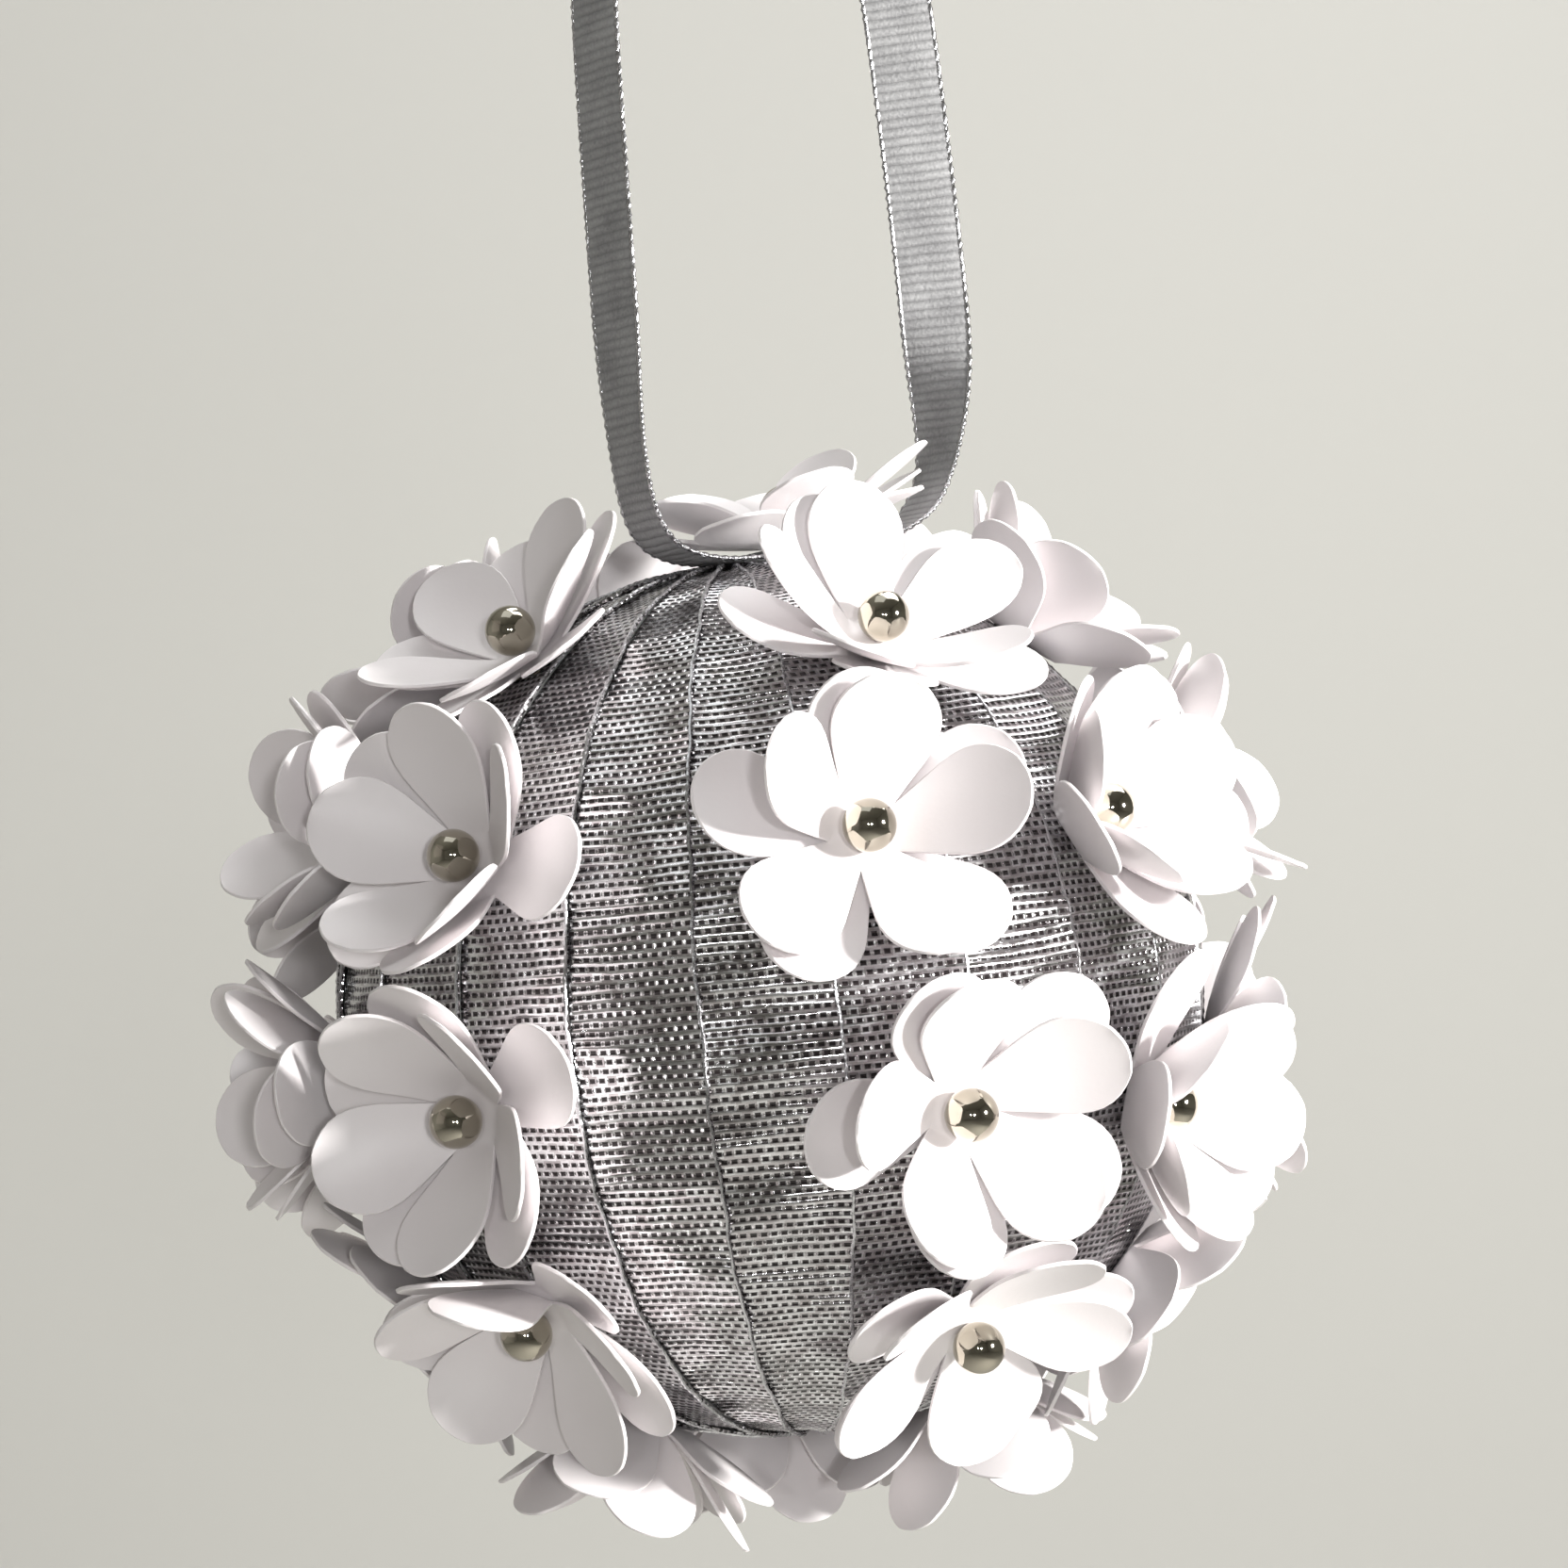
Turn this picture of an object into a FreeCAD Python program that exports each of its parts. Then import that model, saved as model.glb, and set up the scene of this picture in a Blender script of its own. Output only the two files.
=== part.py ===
"""Hanging ball ornament covered with pinned card flowers.

A foam ball is wrapped from pole to pole with strips of woven metallic ribbon.
Flowers punched from pearly card stand all over it, apart from a bare gap two strips wide.
Each flower is two five-petalled blossoms on one ball-headed pin.
A flat ribbon loop is held under the top flower and carries the whole ornament.

Units are millimetres and +Z points up along the ball's poles.
Everything is worked out about the ball's centre.
The finished shapes are then moved so that the origin is the loop's inside top, where it hangs.
Longitude 0 faces the viewer along -Y and grows towards +X.
"""

import FreeCAD
import Part
import math
import os

from FreeCAD import Vector

# Foam ball
BALL_DIAMETER = 70.0

# Wrapping ribbon
STRIP_COUNT = 22
SEAM_LONGITUDE = -8.0
STRIP_THIN_EDGE = 0.2
STRIP_THICK_EDGE = 0.6
POLE_PATCH_DIAMETER = 4.0
POLE_PATCH_HEIGHT = 0.65

# Card blossoms
CARD = 0.3
FLOWER_RADIUS = 13.6
PETAL_TIP_RADIUS = 4.2
PETAL_CURL_RADIUS = 42.0
UNDER_CENTRE_APOTHEM = 3.0
UPPER_CENTRE_APOTHEM = 2.2
HINGE_OVERLAP = 0.15
PETALS = 5
FLATTEST_LIFT = 7.0
STEEPEST_LIFT = 56.0
UPPER_EXTRA_LIFT = 5.0
NEIGHBOUR_GAP = 0.4
OVERLAP_SHARE = 0.85
LEAD_SHARE = 0.3
LEAD_LEAN = 30.0
NEIGHBOUR_REACH = 54.0

# Pins
HEAD_DIAMETER = 4.0
SHAFT_DIAMETER = 0.6
SHAFT_LENGTH = 20.0
POINT_LENGTH = 1.2
PIN_CLEARANCE = 0.05

# Hanging ribbon: its route in a vertical plane, as (distance along the plane, height above the centre)
LOOP_WIDTH = 6.0
LOOP_THICKNESS = 0.4
LOOP_TURN = 30.0
TOP_FLOWER_X = 5.5
TOP_FLOWER_Y = 2.0
TOP_FLOWER_LEAN = 12.0
LOOP_ROUTE = [
    (3.0, 35.9), (-3.5, 35.9), (-9.5, 35.8), (-13.9, 38.0), (-14.9, 45.5),
    (-14.6, 60.0), (-13.8, 86.0), (-11.8, 98.0), (-4.4, 104.5), (5.6, 104.5),
    (13.0, 98.0), (15.1, 86.0), (16.0, 60.0), (15.8, 46.5), (13.6, 39.8),
    (9.0, 37.0), (3.5, 36.35), (-3.0, 36.35),
]
BEND_SHARE = 0.45

# Flowers, row by row: longitude, latitude, spin of the first petal and lead.
# A flower that leads its neighbour lies open and flat, and the neighbour's petals stand up over it.
FLOWER_ROWS = {
    "crown": [
        (28, 50, 13, 1.1), (86, 50, 40, 0.6), (146, 50, 12, 0.9),
        (204, 50, 55, 0.6), (256, 50, 30, 0.9), (-53, 55, 20, 1.0),
    ],
    "upper": [
        (14, 21, 3, 0.65), (49, 20, 13, 0.0), (83, 22, 52, 0.3), (117, 20, 8, 0.6),
        (151, 20, 33, 0.1), (185, 20, 60, 0.6), (219, 20, 22, 0.1), (253, 20, 47, 0.6),
        (-72, 27, 10, 0.2), (-39, 22, 24, 0.45),
    ],
    "lower": [
        (22, -12, 25, 0.6), (54, -15, 62, 0.1), (87, -12, 18, 0.6), (121, -12, 44, 0.1),
        (155, -12, 70, 0.6), (189, -12, 27, 0.1), (222, -12, 5, 0.6), (255, -10, 38, 0.2),
        (-71, -4, 58, 0.0), (-39, -8, 52, 0.65),
    ],
    "base": [
        (29, -44, 70, 0.95), (77, -42, 63, 0.8), (125, -42, 60, 0.9), (173, -42, 14, 0.6),
        (222, -42, 36, 0.8), (274, -38, 66, 0.9), (-42, -36, 69, 0.6),
    ],
    "foot": [(101, -70, 20, 0.4), (197, -69, 45, 0.5), (-66, -66, 8, 0.3)],
}
MOST_LEAD = 0.9

# The under blossom is turned by one of these from the upper one, flower after flower.
UNDER_TWISTS = (36.0, 14.0, 40.0, 30.0)

# The top flower lies open on the ribbon, so that its petals' lifts are given.
TOP_FLOWER_SPIN = 12.0
TOP_FLOWER_LEAD = 1.7
TOP_UNDER_LIFTS = (-6.0, 7.0, 22.0, 14.0, 4.0)
TOP_UPPER_LIFTS = (9.0, 12.0, 27.0, 27.0, 20.0)

BALL_RADIUS = BALL_DIAMETER / 2.0
WRAP_RADIUS = BALL_RADIUS + STRIP_THICK_EDGE
STRIP_ANGLE = 360.0 / STRIP_COUNT
HEAD_RADIUS = HEAD_DIAMETER / 2.0
HOLE_RADIUS = SHAFT_DIAMETER / 2.0 + PIN_CLEARANCE
PETAL_STEP = 360.0 / PETALS
UP = Vector(0, 0, 1)


def cosd(angle):
    return math.cos(math.radians(angle))


def sind(angle):
    return math.sin(math.radians(angle))


def tand(angle):
    return math.tan(math.radians(angle))


def outward(longitude, latitude):
    """Unit vector from the ball's centre at a longitude and latitude."""
    level = cosd(latitude)
    return Vector(sind(longitude) * level, -cosd(longitude) * level, sind(latitude))


class Seat:
    """Where a flower sits: its base point, its axis and the two directions across it."""

    def __init__(self, name, base, axis, spin, lead, twist):
        self.name = name
        self.base = base
        self.axis = axis
        self.cell = Vector(base).normalize()
        self.spin = spin
        self.lead = lead
        self.twist = twist
        self.east = UP.cross(axis).normalize()
        self.north = axis.cross(self.east)

    def placement(self, height=0.0):
        """Placement of the seat's own frame, raised along the axis."""
        e, n, a = self.east, self.north, self.axis
        b = self.base + a * height
        return FreeCAD.Placement(FreeCAD.Matrix(
            e.x, n.x, a.x, b.x,
            e.y, n.y, a.y, b.y,
            e.z, n.z, a.z, b.z,
            0, 0, 0, 1))


class Layer:
    """One blossom of a flower: the size of its centre and the height that it lies at."""

    def __init__(self, apothem, height):
        self.apothem = apothem
        self.height = height
        self.hinge_half = apothem * tand(PETAL_STEP / 2)
        self.tip_centre = FLOWER_RADIUS - PETAL_TIP_RADIUS - apothem
        self.petal_length = FLOWER_RADIUS - apothem
        self.petal = self.make_petal()
        self.outline = self.sample_outline()

    def tangent_point(self):
        """Where a petal's straight side meets its round tip."""
        away = math.hypot(self.tip_centre, self.hinge_half)
        turn = math.acos(PETAL_TIP_RADIUS / away)
        start = math.atan2(self.hinge_half, -self.tip_centre)
        angle = start - turn
        return Vector(self.tip_centre + PETAL_TIP_RADIUS * math.cos(angle),
                      PETAL_TIP_RADIUS * math.sin(angle), 0)

    def make_petal(self):
        """A flat-lying petal that curls up, with its hinge on the Y axis."""
        side = self.tangent_point()
        mirror = Vector(side.x, -side.y, 0)
        tip = Vector(self.petal_length, 0, 0)
        left = Vector(0, self.hinge_half, 0)
        right = Vector(0, -self.hinge_half, 0)
        outline = Part.Face(Part.Wire([
            Part.LineSegment(right, mirror).toShape(),
            Part.Arc(mirror, tip, side).toShape(),
            Part.LineSegment(side, left).toShape(),
            Part.LineSegment(left, right).toShape(),
        ]))
        block = outline.extrude(UP * self.petal_length)
        return block.common(self.curled_sheet())

    def curled_sheet(self):
        """A strip of card, wider than the petal, curled upwards along X."""
        reach = self.petal_length + CARD
        wide = PETAL_TIP_RADIUS + CARD
        outer = PETAL_CURL_RADIUS
        inner = PETAL_CURL_RADIUS - CARD
        end = math.asin(reach / outer)

        def at(radius, angle):
            return Vector(radius * math.sin(angle), -wide, outer - radius * math.cos(angle))

        section = Part.Wire([
            Part.Arc(at(outer, 0), at(outer, end / 2), at(outer, end)).toShape(),
            Part.LineSegment(at(outer, end), at(inner, end)).toShape(),
            Part.Arc(at(inner, end), at(inner, end / 2), at(inner, 0)).toShape(),
            Part.LineSegment(at(inner, 0), at(outer, 0)).toShape(),
        ])
        return Part.Face(section).extrude(Vector(0, 2 * wide, 0))

    def sample_outline(self):
        """Points round the petal's edge, as distance from the hinge and distance aside."""
        points = []
        for angle in range(-100, 101, 20):
            points.append((self.tip_centre + PETAL_TIP_RADIUS * cosd(angle),
                           PETAL_TIP_RADIUS * sind(angle)))
        return points

    def centre(self):
        """The five-sided middle of the blossom, with its pin hole."""
        corner = (self.apothem + HINGE_OVERLAP) / cosd(PETAL_STEP / 2)
        points = []
        for k in range(PETALS + 1):
            angle = PETAL_STEP * (k + 0.5)
            points.append(Vector(corner * cosd(angle), corner * sind(angle), 0))
        plate = Part.Face(Part.makePolygon(points)).extrude(UP * CARD)
        return plate.cut(Part.makeCylinder(HOLE_RADIUS, 3 * CARD, Vector(0, 0, -CARD)))

    def petal_directions(self, seat):
        """Spin of each petal of this blossom on a seat."""
        first = seat.spin
        if self is UNDER:
            first += seat.twist
        return [first + PETAL_STEP * k for k in range(PETALS)]

    def fits(self, seat, spin, lift, walls):
        """Whether a petal at this lift stays on its own side of every wall."""
        along = seat.east * cosd(spin) + seat.north * sind(spin)
        aside = seat.axis.cross(along)
        for out, side in self.outline:
            rise = PETAL_CURL_RADIUS - math.sqrt(PETAL_CURL_RADIUS ** 2 - out ** 2)
            level = self.apothem + out * cosd(lift) - rise * sind(lift)
            height = self.height + out * sind(lift) + rise * cosd(lift)
            point = seat.base + along * level + aside * side + seat.axis * height
            for foot, normal in walls:
                if (point - foot).dot(normal) < NEIGHBOUR_GAP / 2:
                    return False
        return True

    def own_lift(self, seat, spin, walls):
        """The flattest lift that keeps a petal clear of the neighbours."""
        lift = FLATTEST_LIFT
        while lift < STEEPEST_LIFT and not self.fits(seat, spin, lift, walls):
            lift += 1.0
        return lift

    def blossom(self, seat, lifts):
        """The blossom as one solid, on its seat."""
        petals = []
        for spin, lift in zip(self.petal_directions(seat), lifts):
            petal = self.petal.copy()
            petal.rotate(Vector(0, 0, 0), Vector(0, 1, 0), -lift)
            petal.translate(Vector(self.apothem, 0, 0))
            petal.rotate(Vector(0, 0, 0), UP, spin)
            petals.append(petal)
        middle = self.centre()
        middle.rotate(Vector(0, 0, 0), UP, self.petal_directions(seat)[0])
        whole = middle.fuse(petals).removeSplitter()
        whole = whole.Solids[0]
        whole.Placement = seat.placement(self.height)
        return whole


UNDER = Layer(UNDER_CENTRE_APOTHEM, 0.0)
UPPER = Layer(UPPER_CENTRE_APOTHEM, CARD)


def make_seats():
    """Every flower's seat, with the top flower first."""
    stack = max(z for _, z in LOOP_ROUTE[-2:]) + LOOP_THICKNESS / 2
    tilt_room = UNDER_CENTRE_APOTHEM / cosd(PETAL_STEP / 2) * sind(TOP_FLOWER_LEAN)
    base = Vector(TOP_FLOWER_X, TOP_FLOWER_Y, stack + tilt_room)
    lean = Vector(-sind(TOP_FLOWER_LEAN), 0, cosd(TOP_FLOWER_LEAN))
    seats = [Seat("flower_top", base, lean, TOP_FLOWER_SPIN, TOP_FLOWER_LEAD,
                  UNDER_TWISTS[0])]
    for row, places in FLOWER_ROWS.items():
        for number, (longitude, latitude, spin, lead) in enumerate(places, 1):
            axis = outward(longitude, latitude)
            twist = UNDER_TWISTS[number % len(UNDER_TWISTS)]
            name = f"flower_{row}_{number}"
            seats.append(Seat(name, axis * WRAP_RADIUS, axis, spin, lead, twist))
    return seats


def wall_between(seat, other):
    """The slanting wall that parts two neighbours: a point on it and its normal towards the seat.

    Without a lead it stands upright, half way between them.
    The one that leads gets more of the ground, and the wall leans over it.
    """
    lead = max(-MOST_LEAD, min(MOST_LEAD, seat.lead - other.lead))
    angle = seat.cell.getAngle(other.cell)
    share = angle * (0.5 + LEAD_SHARE * lead)
    towards = (other.cell - seat.cell * math.cos(angle)).normalize()
    radial = seat.cell * math.cos(share) + towards * math.sin(share)
    level = seat.cell * math.sin(share) - towards * math.cos(share)
    lean = LEAD_LEAN * lead
    return radial * WRAP_RADIUS, level * cosd(lean) - radial * sind(lean)


def walls_round(seat, seats):
    """The walls towards every flower whose petals could meet this one's."""
    return [wall_between(seat, other) for other in seats
            if other is not seat and (other.base - seat.base).Length < NEIGHBOUR_REACH]


def flower_lifts(seat, seats):
    """How far each petal of a seat's two blossoms is lifted, the upper ones clear of the under ones."""
    if seat.name == "flower_top":
        return TOP_UNDER_LIFTS, TOP_UPPER_LIFTS
    walls = walls_round(seat, seats)
    under_spins = UNDER.petal_directions(seat)
    under_lifts = [UNDER.own_lift(seat, spin, walls) for spin in under_spins]
    upper_lifts = []
    for spin in UPPER.petal_directions(seat):
        lift = UPPER.own_lift(seat, spin, walls)
        for under_spin, under_lift in zip(under_spins, under_lifts):
            apart = abs((under_spin - spin + 180) % 360 - 180)
            if apart < PETAL_STEP * OVERLAP_SHARE:
                lift = max(lift, under_lift + UPPER_EXTRA_LIFT)
        upper_lifts.append(lift)
    return under_lifts, upper_lifts


def make_flower(seat, seats):
    """The two blossoms of one flower as separate solids."""
    under_lifts, upper_lifts = flower_lifts(seat, seats)
    return Part.makeCompound([UNDER.blossom(seat, under_lifts), UPPER.blossom(seat, upper_lifts)])


def make_pin():
    """One ball-headed pin, with the underside of its head at the origin and its point down."""
    head = Part.makeSphere(HEAD_RADIUS, Vector(0, 0, HEAD_RADIUS))
    radius = SHAFT_DIAMETER / 2
    straight = SHAFT_LENGTH - POINT_LENGTH
    shaft = Part.makeCylinder(radius, straight + HEAD_RADIUS, Vector(0, 0, -straight))
    point = Part.makeCone(0, radius, POINT_LENGTH, Vector(0, 0, -SHAFT_LENGTH))
    return head.fuse([shaft, point]).removeSplitter().Solids[0]


def pin_placement(seat):
    """Where a pin's head lies on the upper blossom."""
    return seat.placement(2 * CARD)


def make_pins(seats):
    """All the pins, each a solid of its own."""
    pin = make_pin()
    pins = []
    for seat in seats:
        copy = pin.copy()
        copy.Placement = pin_placement(seat)
        pins.append(copy)
    return Part.makeCompound(pins)


def make_pin_holes(seats):
    """What the pins clear out of the things that they are pushed through."""
    holes = []
    for seat in seats:
        bottom = Vector(0, 0, -SHAFT_LENGTH - PIN_CLEARANCE)
        hole = Part.makeCylinder(HOLE_RADIUS, SHAFT_LENGTH + 2 * CARD, bottom)
        hole.Placement = pin_placement(seat)
        holes.append(hole)
    return holes


def make_strip():
    """One wrapping strip: a slice of shell, thick at the edge that laps over its neighbour."""
    half = STRIP_ANGLE / 2
    mean = BALL_RADIUS + (STRIP_THIN_EDGE + STRIP_THICK_EDGE) / 2
    offset = (STRIP_THICK_EDGE - STRIP_THIN_EDGE) / (2 * sind(half))
    radius = math.hypot(mean, offset)
    sphere = Part.makeSphere(mean, Vector(0, offset, 0))
    inner = POLE_PATCH_DIAMETER / 4
    outer = 2 * radius
    corners = [Vector(r * cosd(a), r * sind(a), -outer)
               for r, a in ((inner, -half), (outer, -half), (outer, half), (inner, half), (inner, -half))]
    wedge = Part.Face(Part.makePolygon(corners)).extrude(Vector(0, 0, 2 * outer))
    return sphere.common(wedge).cut(Part.makeSphere(BALL_RADIUS))


def make_pole_patch():
    """Where the strips' ends cross at the top pole."""
    column = Part.makeCylinder(POLE_PATCH_DIAMETER / 2, 2 * BALL_RADIUS)
    cap = column.common(Part.makeSphere(BALL_RADIUS + POLE_PATCH_HEIGHT))
    return cap.cut(Part.makeSphere(BALL_RADIUS))


def make_wrap(holes):
    """The whole wrapping, strips and pole patches in one, with the pin holes."""
    strip = make_strip()
    first = SEAM_LONGITUDE - 90.0 + STRIP_ANGLE / 2
    pieces = []
    for k in range(STRIP_COUNT):
        copy = strip.copy()
        copy.rotate(Vector(0, 0, 0), UP, first + STRIP_ANGLE * k)
        pieces.append(copy)
    top = make_pole_patch()
    bottom = top.copy()
    bottom.rotate(Vector(0, 0, 0), Vector(1, 0, 0), 180)
    pieces += [top, bottom]
    whole = pieces[0].fuse(pieces[1:]).removeSplitter()
    return whole.cut(holes).Solids[0]


def make_ball(holes):
    """The foam ball with the pin holes."""
    return Part.makeSphere(BALL_RADIUS).cut(holes).Solids[0]


def bend_radius(before, corner, after):
    """Radius and half turn of the arc at one point of the route."""
    came = corner - before
    goes = after - corner
    half = came.getAngle(goes) / 2
    run = min(came.Length, goes.Length)
    return BEND_SHARE * run / math.tan(half), half


def make_loop(holes):
    """The hanging ribbon: a flat strip that follows runs and tangent arcs in one upright plane."""
    along = Vector(cosd(LOOP_TURN), sind(LOOP_TURN), 0)
    across = Vector(sind(LOOP_TURN), -cosd(LOOP_TURN), 0)
    foot = Vector(TOP_FLOWER_X, TOP_FLOWER_Y, 0) - across * (LOOP_WIDTH / 2)
    route = [Vector(u, z, 0) for u, z in LOOP_ROUTE]
    length = 0.0
    edges = {1: [], -1: []}
    ends = {}

    def side_point(point, heading, side):
        return point + Vector(-heading.y, heading.x, 0) * (side * LOOP_THICKNESS / 2)

    previous = route[0]
    for k in range(1, len(route) - 1):
        before, corner, after = route[k - 1], route[k], route[k + 1]
        into = (corner - before).normalize()
        out = (after - corner).normalize()
        radius, half = bend_radius(before, corner, after)
        print("bend", k, "radius", round(radius, 2))
        back = radius * math.tan(half)
        start = corner - into * back
        finish = corner + out * back
        turn = 1 if into.cross(out).z > 0 else -1
        centre = start + Vector(-into.y, into.x, 0) * (turn * radius)
        middle = centre + (corner - centre).normalize() * radius
        mid_heading = (into + out).normalize()
        length += (start - previous).Length + 2 * half * radius
        for side in (1, -1):
            edges[side].append(Part.LineSegment(
                side_point(previous, into, side), side_point(start, into, side)).toShape())
            edges[side].append(Part.Arc(
                side_point(start, into, side), side_point(middle, mid_heading, side),
                side_point(finish, out, side)).toShape())
            ends.setdefault(side, side_point(route[0], into, side))
        previous = finish
    last = route[-1]
    out = (last - route[-2]).normalize()
    length += (last - previous).Length
    for side in (1, -1):
        edges[side].append(Part.LineSegment(
            side_point(previous, out, side), side_point(last, out, side)).toShape())
    caps = [Part.LineSegment(side_point(last, out, 1), side_point(last, out, -1)).toShape(),
            Part.LineSegment(ends[1], ends[-1]).toShape()]
    outline = Part.Wire(Part.__sortEdges__(edges[1] + edges[-1] + caps))
    strip = Part.Face(outline).extrude(Vector(0, 0, LOOP_WIDTH))
    frame = FreeCAD.Placement(FreeCAD.Matrix(
        along.x, 0, across.x, foot.x,
        along.y, 0, across.y, foot.y,
        0, 1, 0, 0,
        0, 0, 0, 1))
    strip.Placement = frame
    print("loop length", round(length, 2), "volume ratio",
          round(strip.Volume / (length * LOOP_WIDTH * LOOP_THICKNESS), 4))
    return strip.cut(holes).Solids[0]


def hanging_point():
    """The loop's inside top, in the middle of its highest run."""
    top = max(z for _, z in LOOP_ROUTE)
    middle = [u for u, z in LOOP_ROUTE if z == top]
    u = sum(middle) / len(middle)
    return Vector(TOP_FLOWER_X + u * cosd(LOOP_TURN), TOP_FLOWER_Y + u * sind(LOOP_TURN),
                  top - LOOP_THICKNESS / 2)


def write(name, shape):
    """Move a finished shape to the hanging frame and write it."""
    shape.translate(hanging_point() * -1)
    print(name, "solids", len(shape.Solids), "valid", shape.isValid(), "volume", round(shape.Volume, 1))
    shape.exportStep(f"parts/{name}.step")


def main():
    os.makedirs("parts", exist_ok=True)
    seats = make_seats()
    holes = make_pin_holes(seats)
    write("foam_ball", make_ball(holes))
    write("ribbon_wrap", make_wrap(holes))
    write("hanging_loop", make_loop(holes))
    write("flower_pins", make_pins(seats))
    for seat in seats:
        write(seat.name, make_flower(seat, seats))


main()
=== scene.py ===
"""Hanging ball ornament, dressed for its picture.

A ball wrapped in woven metallic ribbon carries card flowers on ball-headed pins.
It hangs from a flat ribbon loop.
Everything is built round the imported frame, in metres, with the loop's inside top at the origin
and +Z up.
"""

from __future__ import annotations

import logging
import math
from collections.abc import Callable, Iterable
from dataclasses import dataclass, field
from enum import Enum

import bmesh
import bpy
from mathutils import Matrix, Vector

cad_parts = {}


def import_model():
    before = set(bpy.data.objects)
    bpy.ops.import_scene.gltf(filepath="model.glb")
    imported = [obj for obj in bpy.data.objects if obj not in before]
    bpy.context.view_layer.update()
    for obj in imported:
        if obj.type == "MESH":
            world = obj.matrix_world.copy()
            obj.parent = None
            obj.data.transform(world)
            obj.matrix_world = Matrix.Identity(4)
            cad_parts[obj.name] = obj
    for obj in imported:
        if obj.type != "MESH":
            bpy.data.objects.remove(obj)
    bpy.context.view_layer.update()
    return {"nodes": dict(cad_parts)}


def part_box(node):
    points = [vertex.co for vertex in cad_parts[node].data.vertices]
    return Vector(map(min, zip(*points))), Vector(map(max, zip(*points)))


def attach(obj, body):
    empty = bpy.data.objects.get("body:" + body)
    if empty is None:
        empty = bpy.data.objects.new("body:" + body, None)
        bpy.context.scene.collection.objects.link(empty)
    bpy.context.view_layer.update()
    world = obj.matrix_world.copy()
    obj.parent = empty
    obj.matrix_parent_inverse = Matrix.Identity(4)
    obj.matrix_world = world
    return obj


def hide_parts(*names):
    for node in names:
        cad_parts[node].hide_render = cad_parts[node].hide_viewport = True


MM = 0.001
BODY = "root"
UP = Vector((0.0, 0.0, 1.0))
NEAR = 0.01 * MM
PETALS = 5

Colour = tuple[float, float, float, float]
Pair = tuple[float, float]
Station = tuple[Vector, Vector, Vector, float]

log = logging.getLogger("ornament")


class Slot(Enum):
    """The finishes that the ornament's record names."""

    CARD = "pearl_card"
    WRAP = "wrap_ribbon"
    LOOP = "loop_ribbon"
    PINS = "pin_metal"


class Bench:
    """Blender's own modelling steps, each taken on the pieces that are named."""

    @staticmethod
    def clear() -> None:
        """Leave edit mode and select nothing."""
        if bpy.context.mode != "OBJECT":
            bpy.ops.object.mode_set(mode="OBJECT")
        bpy.ops.object.select_all(action="DESELECT")

    @staticmethod
    def take(piece: bpy.types.Object) -> None:
        """Select one piece alone and make it active."""
        Bench.clear()
        piece.select_set(True)
        bpy.context.view_layer.objects.active = piece

    @staticmethod
    def edit(piece: bpy.types.Object) -> None:
        """Open one piece in edit mode."""
        Bench.take(piece)
        bpy.ops.object.mode_set(mode="EDIT")

    @staticmethod
    def pick(piece: bpy.types.Object, test: Callable[[Vector], bool]) -> None:
        """Select the points of the piece being edited that pass a test.

        Args:
            piece: The piece in edit mode.
            test: Says of a point's place whether it is wanted.
        """
        work = bmesh.from_edit_mesh(piece.data)
        for vert in work.verts:
            vert.select_set(test(vert.co))
        work.select_flush_mode()
        bmesh.update_edit_mesh(piece.data)

    @staticmethod
    def merge(piece: bpy.types.Object, gap: float) -> None:
        """Join points that lie closer together than a gap."""
        Bench.edit(piece)
        bpy.ops.mesh.select_all(action="SELECT")
        bpy.ops.mesh.remove_doubles(threshold=gap)
        bpy.ops.object.mode_set(mode="OBJECT")

    @staticmethod
    def finish(piece: bpy.types.Object, kind: str, **values: object) -> None:
        """Add one modifier to a piece and apply it.

        Args:
            piece: The piece to change.
            kind: Blender's name for the modifier.
            **values: The modifier's settings.
        """
        Bench.take(piece)
        tool = piece.modifiers.new(kind.lower(), kind)
        for name, value in values.items():
            setattr(tool, name, value)
        bpy.ops.object.modifier_apply(modifier=tool.name)

    @staticmethod
    def smooth(piece: bpy.types.Object, angle: float) -> None:
        """Shade smooth up to an angle in degrees, and leave sharper edges crisp."""
        Bench.take(piece)
        bpy.ops.object.shade_smooth_by_angle(angle=math.radians(angle))

    @staticmethod
    def copy(piece: bpy.types.Object, place: Matrix) -> bpy.types.Object:
        """A copy with its own mesh, put at a place."""
        twin = piece.copy()
        twin.data = piece.data.copy()
        bpy.context.scene.collection.objects.link(twin)
        twin.matrix_world = place
        return twin

    @staticmethod
    def join(pieces: list[bpy.types.Object], name: str) -> bpy.types.Object:
        """Make several pieces one.

        Args:
            pieces: The pieces; the first one's place becomes the whole's.
            name: The name of the whole.

        Returns:
            The one piece that is left.
        """
        Bench.take(pieces[0])
        for piece in pieces:
            piece.select_set(True)
        if len(pieces) > 1:
            bpy.ops.object.join()
        pieces[0].name = name
        pieces[0].data.name = name
        return pieces[0]

    @staticmethod
    def settle(piece: bpy.types.Object) -> None:
        """Move a piece's place into its mesh, so that its object stands at the origin."""
        Bench.take(piece)
        bpy.ops.object.transform_apply(location=True, rotation=True, scale=True)

    @staticmethod
    def drop(pieces: Iterable[bpy.types.Object]) -> None:
        """Throw away patterns that are no longer needed."""
        for piece in list(pieces):
            bpy.data.objects.remove(piece, do_unlink=True)


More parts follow.
